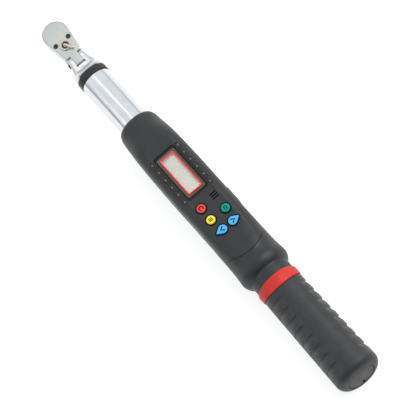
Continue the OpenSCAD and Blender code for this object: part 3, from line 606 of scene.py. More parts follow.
def make_head():
    """Head with bores for the drive, the lever and the pin, and the tongue the fork holds."""
    body = prism(head_outline(0), -HEAD_T, HEAD_T, HEAD_TOP_EDGE, HEAD_LOW_EDGE, 5)
    corner = HEAD_T - TONGUE_CORNER
    root = SHOULDER_X - TONGUE_ROOT
    outline = hull([circle_at for side in (1, -1) for circle_at in (
        (PIN_X + corner, side * corner, TONGUE_CORNER),
        (root, side * TONGUE_ROOT_H, TONGUE_ROOT_R))])
    tongue = prism(outline, -TONGUE_W, TONGUE_W, TONGUE_EDGE, TONGUE_EDGE, 3, across)
    scoop = prism(circle(HEAD_T + SCOOP_GAP, 128, (PIN_X, 0)), -HEAD_R, HEAD_R, swap=across)
    obj = piece("head_shell", body, CHROME, ["head_body"], body="head")
    carve(obj, scoop)
    carve(obj, tongue, "UNION")
    above = HEAD_T + 1
    cuts = [
        prism(grown(head_outline(COVER_INSET), COVER_GAP), HEAD_T - COVER_T, above),
        prism(circle(DRIVE_BORE_R), BORE_FLOOR, above),
        prism(circle(DRIVE_NECK_R), -above, 0),
        prism(circle(LEVER_BORE_R, 64, (LEVER_X, 0)), BORE_FLOOR, above),
        pin_hole(HEAD_R),
    ]
    for cut in cuts:
        carve(obj, cut)
    two_tone(obj, SATIN)


def two_tone(obj, flat_material):
    """Gives the faces that look straight up a second material."""
    obj.data.materials.append(flat_material)
    for face in obj.data.polygons:
        if face.normal.z > SATIN_UP:
            face.material_index = 1


def make_cover():
    """Cover plate with two countersunk screw holes and the lever's hole."""
    plate = prism(head_outline(COVER_INSET), HEAD_T - COVER_T, HEAD_T, COVER_EDGE, 0, 3)
    obj = piece("head_cover", plate, SATIN, ["cover_plate"], body="head")
    seat = HEAD_T - COVER_T + 0.5
    levels = [(SCREW_SHANK_R, HEAD_T - COVER_T - 0.5), (SCREW_SHANK_R, seat), (SCREW_SEAT_R, seat),
              (SCREW_SEAT_R, HEAD_T - 0.25), (SCREW_SEAT_R + SCREW_CHAMFER, HEAD_T + 0.15)]
    hole = sweep([[(x, y, z) for x, y in circle(r, 64)] for r, z in levels])
    for side in (-1, 1):
        carve(obj, moved(hole, SCREW.x, side * abs(SCREW.y)))
    carve(obj, moved(prism(circle(LEVER_BORE_R, 64), 0, HEAD_T + 1), LEVER_X))


def make_lever():
    """Disc with a raised rim, a thumb bar that runs out over the disc's edge, and a flat black ring
    of painted groove shade inside the rim.
    """
    z = HEAD_T + LEVER_GAP

    def bar_outline(grow):
        return hull([(TAB_X0, 0, TAB_R0 + grow), (TAB_L - TAB_R1, 0, TAB_R1 + grow)], 48)

    disc = prism(circle(LEVER_R), z, z + 0.6, 0.2, 0.1, 4)
    rim = between(circle(LEVER_R - 0.05), circle(LEVER_R - 1.35),
                  [(0, z + 0.3), (0, z + 1.1), (0.2, z + 1.35), (0.8, z + 1.35), (1, z + 1.1),
                   (1, z + 0.3)])
    bar = prism(bar_outline(0), z + 0.3, z + 2.35, 0.55, 0.2, 4)
    shaft = prism(circle(SHAFT_R, 64), BORE_FLOOR + 0.2, z + 0.2)
    disc, rim, bar, shaft, gap = [
        moved(p, LEVER_X, turn=TAB_ANGLE)
        for p in (disc, rim, bar, shaft, prism(bar_outline(0.05), z, z + 3))]
    obj = piece("lever_disc", disc, LEVER_METAL, ["reverse_lever"], body="lever")
    for part in (rim, bar, shaft):
        carve(obj, part, "UNION")
    # Painted shade: a thin flat black ring on the disc inside the rim stands in for a groove
    ring = moved(between(circle(LEVER_R - 1.45), circle(GROOVE_SHADE_INNER_R),
                         [(0, z + 0.58), (0, z + 0.66), (1, z + 0.66), (1, z + 0.58)]), LEVER_X)
    dark = piece("lever_groove_shade", ring, BLACK_OXIDE_AND_GROOVE_SHADE, [], body="lever")
    carve(dark, gap)


# ---- fork, plunger and seal

SLOT_END = 34.5
SLOT_GAP = 0.15
# Longer than any slot or hole that is cut through the fork
FORK_REACH = 20
SLOT_REACH = 9
RELIEF = (1.5, 1.3, 0.3)
RELIEF_BACK = 0.5
FLANGE_EDGE = 0.4
# Half widths, half heights and corner radii of the fork at places along it
FORK_WIDTHS = [(PIN_X - 6, 7.4), (PIN_X - 2, 7.5), (31, 8.4), (35, 9.8), (38.5, 11.2),
               (41.5, 12.4), (43.6, 12.85), (RING_X, 12.9)]
FORK_HEIGHTS = [(PIN_X, 6.0), (37.6, 6.0), (38.6, 6.35), (40.4, 8.9), (42.3, 11.6), (43.6, 12.6),
                (RING_X, 12.9)]
FORK_CORNERS = [(PIN_X - 6, 1.3), (27, 1.6), (31, 2.4), (34, 3.2), (38, 4.2), (40, 6.8),
                (42.5, 11.0), (44, 12.4)]
LEAST_H = 0.15
CORNER_TO_H = 0.96
CORNER_TO_W = 0.985
# Countersink of the pin's head, as (side, radius)
COUNTERSINK = ((-7.2, PIN_HOLE_R), (-8.6, 2.9))
AXIS_HOLE_R = 0.4
TAIL_NECK_R = 10
TAIL_R = 11
TAIL_END = 62
BEAM_W = 6
BEAM_T = 4.5
BEAM_EDGE = 0.6
BEAM_OVERLAP = 1
PLUG_X = 104
PLUG_END = 124
PLUG_R = 11.1
PLUNGER_NOSE = [(34.3, 1.1), (34.45, 1.5), (34.8, 1.78)]
PLUNGER_R = 1.78
PLUNGER_END_R = 1.55
PLUNGER_CHAMFER = 0.2
SEAL_R = 13.1
SEAL_HOLE_R = 10.05
SEAL_EDGE = 0.75
SEAL_GAP = 0.02
SEAL_STEPS = 8


def make_fork():
    """Forged fork that grows from two flat arms into the round flange."""
    xs = [PIN_X - HEAD_T * cos(a) for a in quarter(14)]
    xs += [PIN_X + (RING_X - PIN_X) * k / 40 for k in range(1, 40)]
    xs += [RING_X - FLANGE_EDGE - 0.05, RING_X]
    rings = []
    for x in xs:
        w = curve(FORK_WIDTHS, x)
        h = curve(FORK_HEIGHTS, x)
        if x < PIN_X:
            h = max(sqrt(max(HEAD_T**2 - (x - PIN_X)**2, 0)), LEAST_H)
        if x > RING_X - FLANGE_EDGE:
            w, h = w - FLANGE_EDGE, h - FLANGE_EDGE
        r = min(curve(FORK_CORNERS, x), h * CORNER_TO_H, w * CORNER_TO_W)
        rings.append([(x, y, z) for y, z in round_rect(2 * w, 2 * h, r, 14)])
    obj = piece("fork", sweep(rings), CHROME, ["flex_yoke"])
    arm = TONGUE_W + SLOT_GAP
    carve(obj, prism([(0, -arm), (SLOT_END, -arm), (SLOT_END, arm), (0, arm)],
                     -SLOT_REACH, SLOT_REACH))
    for side in (-1, 1):
        corner = round_rect(*RELIEF, 4, (SLOT_END - RELIEF_BACK, side * arm))
        carve(obj, prism(corner, -SLOT_REACH, SLOT_REACH))
    carve(obj, pin_hole(FORK_REACH))
    carve(obj, sweep([[(PIN_X + x, y, z) for x, z in circle(r, 64)] for y, r in COUNTERSINK]))


def make_beam():
    """Round tail of the fork, the flat strain beam, and the plug that holds it in the tube."""
    start = RING_X - 0.5
    tail = turned([(start, AXIS_HOLE_R), (start, TAIL_NECK_R), (TUBE_X, TAIL_NECK_R),
                   (TUBE_X, TAIL_R), (TAIL_END, TAIL_R), (TAIL_END, AXIS_HOLE_R)], 96)
    x0, x1 = TAIL_END - BEAM_OVERLAP, PLUG_X + BEAM_OVERLAP
    beam = prism([(x0, -BEAM_W), (x1, -BEAM_W), (x1, BEAM_W), (x0, BEAM_W)], -BEAM_T, BEAM_T,
                 BEAM_EDGE, BEAM_EDGE)
    plug = turned([(PLUG_X, AXIS_HOLE_R), (PLUG_X, PLUG_R), (PLUG_END, PLUG_R),
                   (PLUG_END, AXIS_HOLE_R)], 96)
    piece("strain_beam", together(tail, beam, plug), CHROME, [])


def make_plunger():
    """Spring plunger, pushed back far enough for the tongue to swing past its nose."""
    end = box_mm("flex_plunger")[1].x
    profile = PLUNGER_NOSE + [(end - PLUNGER_CHAMFER, PLUNGER_R), (end, PLUNGER_END_R)]
    rings = [[(x, y, z) for y, z in circle(r, 48)] for x, r in profile]
    piece("plunger", sweep(rings), STEEL, ["flex_plunger"])


def make_seal():
    """Rubber ring with round outer edges between the flange and the tube."""
    front, rear = RING_X + SEAL_GAP, TUBE_X - SEAL_GAP
    flat = SEAL_R - SEAL_EDGE
    arc = [(SEAL_EDGE * (1 - cos(a)), flat + SEAL_EDGE * sin(a)) for a in quarter(SEAL_STEPS)[:-1]]
    profile = [(front, SEAL_HOLE_R)] + [(front + d, r) for d, r in arc]
    profile += [(rear - SEAL_EDGE, SEAL_R)] + [(rear - d, r) for d, r in arc[::-1]]
    profile.append((rear, SEAL_HOLE_R))
    piece("seal", turned(profile), RING, ["seal_ring"])


make_head()
make_cover()
make_lever()
make_fork()
make_beam()
make_plunger()
make_seal()


# ---- housing

HOUSE_X = 102.8
# Start, step and count of the places along the housing where its section is drawn
HOUSE_STEPS = ((HOUSE_X, 0.25, 16), (107, 0.75, 31), (130.5, 0.4, 14), (136.1, 1.0, 84))
LEAN_STEPS = 44
SEAM_X = 239.5
SEAM_GAP = 0.1
SEAM_SLOPE = 0.73
SEAM_BOW = 0.0095
SEAM_BOW_W = 15.0
SPLIT_Z = -6.0
SPLIT_FLAT = 0.1
WALL = 2.2
# Radius of the shells' edges at a seam, and how far from it the sections that round it lie
LIP_R = 0.35
LIP_STEPS = (0.0, 0.05, 0.12, 0.22, 0.35)
PANEL_SINK = 0.5
PANEL_W = 10.8
PANEL_X0 = 131.0
PANEL_X1 = 248.0
PANEL_BOW = 0.020
PANEL_FRONT_EASE = 4.5
PANEL_REAR_EASE = 5.5
PANEL_SIDE_EASE = 2.4
BASE_H = 19.6
# Points in a section: split, side, corner, top and bottom
SPLIT_N = 5
SIDE_N = 10
CORNER_N = 22
TOP_N = 44
BASE_N = 20
LEAST_FLAT = 0.02
LEAST_CORNER = 0.5
COLLAR_END = 280.8
# Half widths, top heights and corner radii of the housing and collar at places along them
NOSE = [(102.8, 13.3), (103.05, 14.2), (103.8, 15.1), (105.2, 16.0), (107.2, 16.7), (109.5, 17.15)]
TAIL = [(239.5, 19.95), (254, 20.4), (261, 20.95), (264, 21.2), (266, 20.95), (267.8, 20.3),
        (269.4, 19.3), (270.6, 18.2), (271.5, 17.35), (272.3, 17.0), (273.4, 16.9), (280.8, 16.9)]
WIDTHS = NOSE + [(114, 17.6), (119.5, 18.0), (133, 18.6), (165, 19.25), (218, 19.35)] + TAIL
TOPS = (NOSE + [(114, 17.85), (119.5, 18.7), (125, 19.4), (131, 19.6), (165, 19.6), (232, 19.6)]
        + TAIL)
CORNERS = [(102.8, 13.2), (109.5, 17.0), (117, 16.6), (125, 13.2), (133, 10.4), (142, 9.5),
           (212, 9.5), (224, 11.5), (236, 16), (246, 19.6), (255, 20.3), (264, 21.1), (268, 20.1),
           (272, 16.9), (280.8, 16.8)]
BEZEL_POCKET = (45.9, 19.6, 1.6)
STRIP_POCKET_W = 3.3
STRIP_POCKET_R = 1.6
SOUND_SLOT = (0.95, 6.0, 0.45)
SOUND_PITCH = 2.2
CUT_FLOOR = 10.0
CASE_SCREW_R = 2.1
CASE_SCREW_HOLE_R = 2.4
CASE_SCREW_HOLE_Z = (-30, -11)
PORT_CUT_Y = (17.7, 25)


def panel_depth(x, y):
    """How far the sunken top panel lies below the housing at a point seen from above."""
    bow = PANEL_BOW * y * y
    front = smooth((x - PANEL_X0 - bow) / PANEL_FRONT_EASE)
    rear = smooth((PANEL_X1 - bow - x) / PANEL_REAR_EASE)
    side = smooth((PANEL_W - abs(y)) / PANEL_SIDE_EASE + 0.5)
    return PANEL_SINK * front * rear * side


def section(x, inset):
    """Upper and lower outline of the housing at x, each from its +Y split to its -Y split."""
    w = curve(WIDTHS, x) - inset
    top = curve(TOPS, x) - inset
    base = min(curve(TOPS, x), BASE_H) - inset
    r = max(min(curve(CORNERS, x) - inset, w - LEAST_FLAT, top - LEAST_FLAT), LEAST_CORNER)
    low_r = min(r, base - LEAST_FLAT)
    side_top = top - r
    side_low = -(base - low_r)

    def low_corner(a):
        return w - low_r + low_r * cos(a), side_low - low_r * sin(a)

    if side_low > SPLIT_Z:
        start = asin(min((side_low - SPLIT_Z) / low_r, 1))
        side = [(low_corner(start)[0], SPLIT_Z)]
        side += [low_corner(start * (1 - k / SPLIT_N)) for k in range(1, SPLIT_N + 1)]
        side_z = side_low
        rest = SIDE_N + CORNER_N
        below = [low_corner(lerp(start, pi / 2, k / rest)) for k in range(rest + 1)]
    else:
        side = [(w, SPLIT_Z + SPLIT_FLAT * k / SPLIT_N) for k in range(SPLIT_N + 1)]
        side_z = SPLIT_Z + SPLIT_FLAT
        below = [(w, lerp(SPLIT_Z, side_low, k / SIDE_N)) for k in range(SIDE_N)]
        below += [low_corner(a) for a in quarter(CORNER_N)]
    side += [(w, lerp(side_z, side_top, k / SIDE_N)) for k in range(1, SIDE_N + 1)]
    side += [(w - r + r * cos(a), side_top + r * sin(a)) for a in quarter(CORNER_N)[1:]]

    def mirrored(half, flat, count, z):
        middle_part = [(flat * (1 - 2 * k / count), z) for k in range(1, count)]
        return half + middle_part + [(-y, z) for y, z in reversed(half)]

    return mirrored(side, w - r, TOP_N, top), mirrored(below, w - low_r, BASE_N, -base)


def lips(d):
    """Inset that rounds an edge at a distance d from it."""
    return LIP_R - sqrt(max(LIP_R**2 - (LIP_R - d)**2, 0)) if d < LIP_R else 0.0


def leaning(x, lean, y, z):
    """Place along the tool of a point of a section that leans back and is bowed over the top."""
    bow = SEAM_BOW * min(abs(y), SEAM_BOW_W) ** 2 * smooth((z - 4) / 12)
    return x + lean * (z - bow / SEAM_SLOPE)


def shell_ring(x, lean, edge, which):
    """Closed loop of a shell's outer and inner wall at a leaning cross-section."""
    loops = []
    for inset in (edge, WALL):
        loop = []
        for y, z in section(x, inset)[which]:
            at = leaning(x, lean, y, z)
            sunk = panel_depth(at, y) if which == 0 and inset < WALL and z > 0 else 0
            loop.append((at, y, z - sunk))
        loops.append(loop)
    return loops[0] + loops[1][::-1]


def shell(stations, which):
    """Closed shell through stations of (x, lean, edge)."""
    rings = [shell_ring(x, lean, edge, which) for x, lean, edge in stations]
    points, faces = sweep(rings, ends=False)
    size = len(rings[0])
    half = size // 2
    for start in (0, len(points) - size):
        for i in range(half - 1):
            faces.append((start + i, start + i + 1, start + size - 2 - i, start + size - 1 - i))
    return points, faces


def house_stations():
    """Stations of the housing, which lean more and more towards the seam at its rear end."""
    xs = [start + step * k for start, step, count in HOUSE_STEPS for k in range(count)]
    stations = [(x, 0.0, 0.0) for x in xs]
    end = SEAM_X - SEAM_GAP
    for k in range(1, LEAN_STEPS + 1):
        f = k / LEAN_STEPS
        x = lerp(xs[-1], end, f)
        stations.append((x, SEAM_SLOPE * f, lips(end - x)))
    return stations


def finer(stations):
    """Adds close stations just before the seam, so that its rounded edge is smooth."""
    end = stations[-1]
    before = stations[-2]
    extra = []
    for d in LIP_STEPS[::-1]:
        f = 1 - d / (end[0] - before[0])
        extra.append((lerp(before[0], end[0], f), lerp(before[1], end[1], f), lips(d)))
    return stations[:-1] + extra


def chamfered(outline, z, flare):
    """Cutter with straight sides below z and a chamfer that opens above it."""
    rings = [[(x, y, CUT_FLOOR) for x, y in outline], [(x, y, z - flare) for x, y in outline],
             [(x, y, z + 1) for x, y in grown(outline, flare + 1)]]
    return sweep(rings)


KEY_R = 3.65
TEAR_L = 5.95
TIP_R = 0.7
KEY_HOLE_GAP = 0.5


def key_place(node):
    """Middle of a key's round part and the side its tip points to, or 0 for a round key."""
    low, high = box_mm(node)
    reach = (high.x - low.x) / 2
    if high.y - low.y < high.x - low.x + 0.3:
        return low.x + reach, (low.y + high.y) / 2, 0
    if low.y + high.y > 0:
        return low.x + reach, low.y + reach, 1
    return low.x + reach, high.y - reach, -1


def key_outline(node, grow):
    """Outline of a round or drop-shaped key in its place, moved outwards by grow."""
    x, y, side = key_place(node)
    if side == 0:
        return circle(KEY_R + grow, 72, (x, y))
    return grown(hull([(x, y, KEY_R), (x, y + side * (TEAR_L - TIP_R), TIP_R)], 72), grow)


def make_housing():
    """Upper and lower shell, with the pockets for everything that sits in the panel."""
    panel_z = BASE_H - PANEL_SINK
    stations = finer(house_stations())
    upper, lower = [
        piece(name, shell(stations, which), HOUSING, [node], HOUSING_SHARP)
        for which, name, node in ((0, "housing_top", "upper_housing"),
                                  (1, "housing_base", "lower_housing"))]
    cuts = [chamfered(round_rect(*BEZEL_POCKET, 8, (middle("display_bezel").x, 0)), panel_z, 0.3)]
    low, high = box_mm("led_lens_left")
    strip = (low + high) / 2
    for side in (-1, 1):
        pocket = round_rect(high.x - low.x + 0.3, STRIP_POCKET_W, STRIP_POCKET_R, 8,
                            (strip.x, side * strip.y))
        cuts.append(chamfered(pocket, panel_z + 0.3, 0.2))
    cuts += [chamfered(key_outline(node, KEY_HOLE_GAP), panel_z, 0.1) for node in KEYS]
    sound = middle("buzzer")
    for k in (-1, 0, 1):
        slot = round_rect(*SOUND_SLOT, 5, (sound.x + SOUND_PITCH * k, sound.y))
        cuts.append(chamfered(slot, panel_z, 0.15))
    low, high = box_mm("port_cover")
    port = round_rect(high.x - low.x + 0.2, high.z - low.z + 0.3, 1.0, 6,
                      ((low.x + high.x) / 2, (low.z + high.z) / 2 + 0.05))
    cuts.append(prism(port, *PORT_CUT_Y, swap=across))
    for cut in cuts:
        carve(upper, cut, sharp=HOUSING_SHARP)
    low, high = box_mm("housing_screws")
    for x in (low.x + CASE_SCREW_R, high.x - CASE_SCREW_R):
        for y in (low.y + CASE_SCREW_R, high.y - CASE_SCREW_R):
            hole = prism(circle(CASE_SCREW_HOLE_R, 48, (x, y)), *CASE_SCREW_HOLE_Z)
            carve(lower, hole, sharp=HOUSING_SHARP)


make_housing()


# ---- collar, band and grip

FADE_END = 262.0
COLLAR_LAST_X = 276.0
COLLAR_EDGE = 0.4
BAND_SLOPE = 0.237
BAND_X = 280.85
BAND_END = 287.3
BAND_R = 18.1
BAND_HOLE_R = 14.7
# Distance from an end face and drop below the full radius, of the points that round an edge
BAND_EDGE = ((0, 0.5), (0.15, 0.15), (0.5, 0))
GRIP_EDGE = ((0, 0.45), (0.12, 0.13), (0.45, 0))
GRIP_HOLE_R = 12.85
GRIP_STEP = 0.4
GRIP_N = 160
GRIP_SQUARE_X = 368
GRIP_R0 = 17.4
GRIP_R1 = 19.3
GRIP_END = 383.6
GRIP_CORNER = 6.7
GROOVE_X = 294.6
GROOVE_PITCH = 9.9
GROOVE_COUNT = 8
GROOVE_DEPTH = 0.9
GROOVE_RISE = 0.8
GROOVE_FALL = 5.6
# Angles in degrees down from the top of the grip, whose pattern is turned a little to one side
GROOVE_MIDDLE = 66
GROOVE_HALF = 36
GROOVE_FADE = 16
GROOVE_TURN = radians(-14)
CAP_HEAD_R = 12.0
CAP_HEAD_GAP = 0.35
CAP_SEAT_X = 379.3
CAP_BODY = [(369.5, 9.2), (375.6, 9.2), (375.6, 8.2), (377.6, 8.2), (377.6, 9.85), (379.6, 9.85)]
# Distance from the cap's end and drop below its radius, of the points that round its edge
CAP_EDGE = ((0.7, 0), (0.33, 0.11), (0.08, 0.4), (0.02, 0.75))
NOTCH = (2.6, 9, 0.5)
NOTCH_Z = -11.5
NOTCH_HALF = 0.8


def make_collar():
    """Rear part of the housing, which leans like the seam at its front end only."""
    start = SEAM_X + SEAM_GAP
    xs = [start + d for d in LIP_STEPS]
    xs += [lerp(start + LIP_R, FADE_END, k / 24) for k in range(1, 25)]
    xs += [FADE_END + 0.35 * k for k in range(1, 35)]
    xs += [COLLAR_LAST_X, COLLAR_END - COLLAR_EDGE, COLLAR_END]
    rings = []
    for x in xs:
        lean = SEAM_SLOPE * (1 - min(max((x - start) / (FADE_END - start), 0), 1))
        edge = lips(x - start) + lips(COLLAR_END - x)
        loops = []
        for inset in (edge, WALL):
            upper, lower = section(x, inset)
            whole = upper + lower[-2:0:-1]
            loops.append([(leaning(x, lean, y, z), y, z) for y, z in whole])
        rings.append(loops)
    outer = [loops[0] for loops in rings]
    inner = [loops[1] for loops in reversed(rings)]
    piece("collar", sweep(outer + inner, round_trip=True), HOUSING, ["rear_collar"],
          COLLAR_SHARP)


def leaning_rings(stations, count=144):
    """Rings about the tool's axis from stations of (x, lean, radius)."""
    return [[(x + lean * z, y, z) for y, z in circle(r, count)] for x, lean, r in stations]


def make_band():
    """Ring with an upright front face and a rear face that leans like the grip's end."""
    stations = [(BAND_X, 0, BAND_HOLE_R)]
    stations += [(BAND_X + d, 0, BAND_R - drop) for d, drop in BAND_EDGE]
    stations += [(BAND_END - d, BAND_SLOPE, BAND_R - drop) for d, drop in BAND_EDGE[::-1]]
    stations.append((BAND_END, BAND_SLOPE, BAND_HOLE_R))
    piece("band", sweep(leaning_rings(stations), round_trip=True), BAND, ["red_band"],
          FRAME_SHARP)


def groove(x):
    """Depth of the saw-tooth grooves at a place along the grip, as a share of the full depth."""
    step = (x - GROOVE_X) / GROOVE_PITCH
    if step < -0.08 or step > GROOVE_COUNT - 0.4:
        return 0.0
    back = (step % 1.0) * GROOVE_PITCH
    rise = back - GROOVE_PITCH + GROOVE_RISE
    if rise > 0:
        return smooth(rise / GROOVE_RISE) if step < GROOVE_COUNT - 1 else 0.0
    return 1 - smooth(back / GROOVE_FALL)


def make_grip():
    """Rubber grip that widens to a round end, with saw-tooth grooves down both sides."""
    corner_x = GRIP_END - GRIP_CORNER
    front = BAND_END + 0.1
    outer = [(front + d, GRIP_R0 - drop) for d, drop in GRIP_EDGE]
    start = outer[-1][0]
    steps = round((corner_x - front - 1) / GRIP_STEP)
    for k in range(1, steps + 1):
        f = k / steps
        outer.append((lerp(start, corner_x, f), lerp(GRIP_R0, GRIP_R1, f)))
    outer += [(corner_x + GRIP_CORNER * sin(a), GRIP_R1 - GRIP_CORNER * (1 - cos(a)))
              for a in quarter(14)[1:]]
    seat = CAP_HEAD_R + CAP_HEAD_GAP
    inner = [(GRIP_END, seat), (CAP_SEAT_X, seat), (CAP_SEAT_X, GRIP_HOLE_R), (front, GRIP_HOLE_R)]
    rings = []
    for x, r in outer + inner:
        lean = BAND_SLOPE * (1 - smooth((x - GRIP_SQUARE_X) / (corner_x - GRIP_SQUARE_X)))
        ring = []
        for a in around(GRIP_N):
            y, z = cos(a), sin(a)
            off_top = degrees(abs(remainder(a - pi / 2 - GROOVE_TURN, 2 * pi)))
            side = smooth((GROOVE_HALF - abs(off_top - GROOVE_MIDDLE)) / GROOVE_FADE)
            deep = GROOVE_DEPTH * groove(x) * side if r > GRIP_R0 - 0.01 and x < corner_x else 0
            ring.append((x + lean * r * z, (r - deep) * y, (r - deep) * z))
        rings.append(ring)
    piece("hand_grip", sweep(rings, round_trip=True), GRIP, ["grip"],
          COLLAR_SHARP)


def make_end_cap():
    """Round plug with a notched head that closes the grip's end."""
    profile = CAP_BODY + [(CAP_BODY[-1][0], CAP_HEAD_R)]
    profile += [(GRIP_END - d, CAP_HEAD_R - drop) for d, drop in CAP_EDGE]
    rings = leaning_rings([(x, 0, r) for x, r in profile], 128)
    obj = piece("battery_cap", sweep(rings), HOUSING, ["end_cap"], body="cap")
    notch = round_rect(*NOTCH, 5, (GRIP_END, NOTCH_Z))
    carve(obj, prism(notch, -NOTCH_HALF, NOTCH_HALF, swap=across))


make_collar()
make_band()
make_grip()
make_end_cap()


# ---- display

FRAME_L = 37.8
FRAME_W = 13.6
FRAME_BORDER = 1.0
LINE_L = 41.4
LINE_W = 17.0
BEZEL_L = 45.5
BEZEL_W = 19.2
# Share of the way from outer to inner outline, and drop below the highest point
BEZEL_PROFILE = ((0, 0.3), (0.05, 0.09), (0.15, 0), (0.85, 0), (1, 0.12))
STEP_PROFILE = ((0, 0.14), (0.9, 0.3), (1, 0.4))
BORDER_PROFILE = ((0, 0.25), (0.08, 0.08), (0.25, 0), (0.6, 0), (0.8, 0.08), (1, 0.35))
PANE_CORNER = 0.85
PANE_EDGE = 0.12
DOT_COUNT = 6
DOT_PITCH = 8.2
DOT_R = 0.93
DOT_HOLE_R = 0.95
DOT_DEPTH = 0.9
DOT_EDGE = 0.3


def framed(outer, inner, low, top, profile):
    """Frame between two outlines on a flat base, whose upper side follows a profile of drops."""
    edge = [(share, top - drop) for share, drop in profile]
    return between(outer, inner, [(0, low)] + edge + [(1, low)])


def make_display():
    """Black bezel with a brown inner step, red frame, and the clear window it holds."""
    low, high = box_mm("display_bezel")
    x = (low.x + high.x) / 2

    def outline(length, width, r):
        return round_rect(length, width, r, 10, (x, 0))

    line = outline(LINE_L, LINE_W, 1.6)
    rim = framed(outline(BEZEL_L, BEZEL_W, 1.5), line, low.z, high.z, BEZEL_PROFILE)
    piece("bezel", rim, BEZEL, ["display_bezel"], FRAME_SHARP)
    step = framed(grown(line, -0.02), outline(FRAME_L + 0.1, FRAME_W + 0.1, 1.5), low.z, high.z,
                  STEP_PROFILE)
    piece("bezel_step", step, BEZEL_LINE, [], FRAME_SHARP)
    low, high = box_mm("display_frame")
    inner = outline(FRAME_L - 2 * FRAME_BORDER, FRAME_W - 2 * FRAME_BORDER, 0.9)
    border = framed(outline(FRAME_L, FRAME_W, 1.45), inner, low.z, high.z, BORDER_PROFILE)
    piece("screen_frame", border, FRAME_RED, ["display_frame"], FRAME_SHARP)
    low, high = box_mm("display_lens")
    pane = prism(outline(high.x - low.x, high.y - low.y, PANE_CORNER), low.z, high.z, PANE_EDGE,
                 PANE_EDGE, 3)
    piece("screen_window", pane, WINDOW, ["display_lens"])


def make_strips():
    """Smoked strips with a row of pale light windows in each."""
    for name in ("left", "right"):
        node = "led_lens_" + name
        low, high = box_mm(node)
        x, y = (low.x + high.x) / 2, (low.y + high.y) / 2
        bar = round_rect(high.x - low.x, high.y - low.y, 1.4, 10, (x, y))
        strip = prism(bar, low.z, high.z - 0.1, 0.25, 0.1, 4)
        obj = piece("strip_" + name, strip, SMOKE, [node])
        dots = []
        for n in range(DOT_COUNT):
            dot = (x + (n - (DOT_COUNT - 1) / 2) * DOT_PITCH, y)
            floor = high.z - DOT_DEPTH
            carve(obj, prism(circle(DOT_HOLE_R, 40, dot), floor, high.z + 1))
            dots.append(prism(circle(DOT_R, 40, dot), floor, high.z - 0.02, DOT_EDGE))
        piece("lights_" + name, together(*dots), LED, [])


make_display()
make_strips()


# ---- keys

RIM_GAP = 0.25
RIM_W = 1.0
RIM_T = 0.7
RIM_PROFILE = ((0, 0.28), (0.12, 0.08), (0.32, 0), (0.68, 0), (0.88, 0.08), (1, 0.28))
KEY_EDGE = 0.55
FLANGE_OUT_ROUND = 0.9
FLANGE_OUT_DROP = 0.55
FLANGE_T = 0.6
FLANGE_TOP = 17.0
MARK_T = 0.07
MARK_SINK = 0.02
MARK_SHIFT = 0.35
RETURN_R = 1.6


def make_rims():
    """Raised rubber rings round the keys."""
    base = box_mm("button_rims")[0].z
    rings = [framed(key_outline(node, RIM_W), key_outline(node, RIM_GAP), base, base + RIM_T,
                    RIM_PROFILE) for node in KEYS]
    piece("key_rims", together(*rings), RIM, ["button_rims"], FRAME_SHARP)


def make_keys():
    """Caps with a hidden flange below the panel and a raised mark on top."""
    for node, color in KEYS.items():
        x, y, side = key_place(node)
        top = box_mm(node)[1].z
        cap = prism(key_outline(node, 0), FLANGE_TOP - 0.05, top, KEY_EDGE, 0, 5)
        flange = prism(key_outline(node, FLANGE_OUT_DROP if side else FLANGE_OUT_ROUND),
                       FLANGE_TOP - FLANGE_T, FLANGE_TOP - 0.06)
        name = node.replace("_button", "")
        body = name + "_key"
        piece(name + "_cap", together(cap, flange), KEY_PAINT[color], [node],
              body=body)
        marks = [moved(part, x, y + MARK_SHIFT * side, top - MARK_SINK) for part in key_marks(node)]
        piece(name + "_mark", together(*marks), KEY_MARK, [], body=body)


def line_mark(points, width):
    """Flat raised line through points."""
    outline = []
    for side in (1, -1):
        path = points if side > 0 else points[::-1]
        for k, p in enumerate(path):
            a = Vector(path[max(k - 1, 0)])
            b = Vector(path[min(k + 1, len(path) - 1)])
            along = (b - a).normalized()
            outline.append((p[0] - along.y * width / 2, p[1] + along.x * width / 2))
    return prism(outline[::-1], 0, MARK_T)


def arrow(x, y, turn):
    """Arrow head that points along X before it is turned."""
    return moved(prism([(0.75, 0), (-0.45, 0.75), (-0.45, -0.75)], 0, MARK_T), x, y, 0, turn)


def key_marks(node):
    """Plain symbols: a return arrow, two opposite arrows, a list, and a chevron up or down."""
    if node == "clear_button":
        arc = [(RETURN_R * cos(radians(a)), RETURN_R * sin(radians(a)))
               for a in range(60, 331, 15)]
        return [line_mark(arc, 0.85), arrow(1.3, 1.25, -50)]
    if node == "unit_button":
        return [line_mark([(-1.9, 0.85), (0.8, 0.85)], 0.6), arrow(1.2, 0.85, 0),
                line_mark([(1.9, -0.85), (-0.8, -0.85)], 0.6), arrow(-1.2, -0.85, 180)]
    if node == "set_button":
        return [line_mark([(-1.6, 1.1 * k), (1.6, 1.1 * k)], 0.6) for k in (-1, 0, 1)]
    up = 1 if node == "up_button" else -1
    return [line_mark([(-1.8, -1.3 * up), (0, 1.5 * up), (1.8, -1.3 * up)], 1.1)]


make_rims()
make_keys()


# ---- port cover

FLAP_GAP = 0.1
FLAP_BORDER = 2.8
FLAP_CORNER = 1.0
FLAP_INNER_CORNER = 0.8
# Depths below the flap's outermost face
FLAP_FACE = 0.3
FLAP_BACK = 1.85
FLAP_EDGE = 0.25
FLAP_PROFILE = ((0.12, 0.5), (0.2, 0.12), (0.35, 0.02), (0.7, 0.02), (0.9, 0.12), (1, 0.5))
PLUG_BORDER = 6
PLUG_BORDER_H = 6.2
PLUG_CORNER = 0.6
PLUG_FRONT = 1.8
PLUG_BACK = 2.3


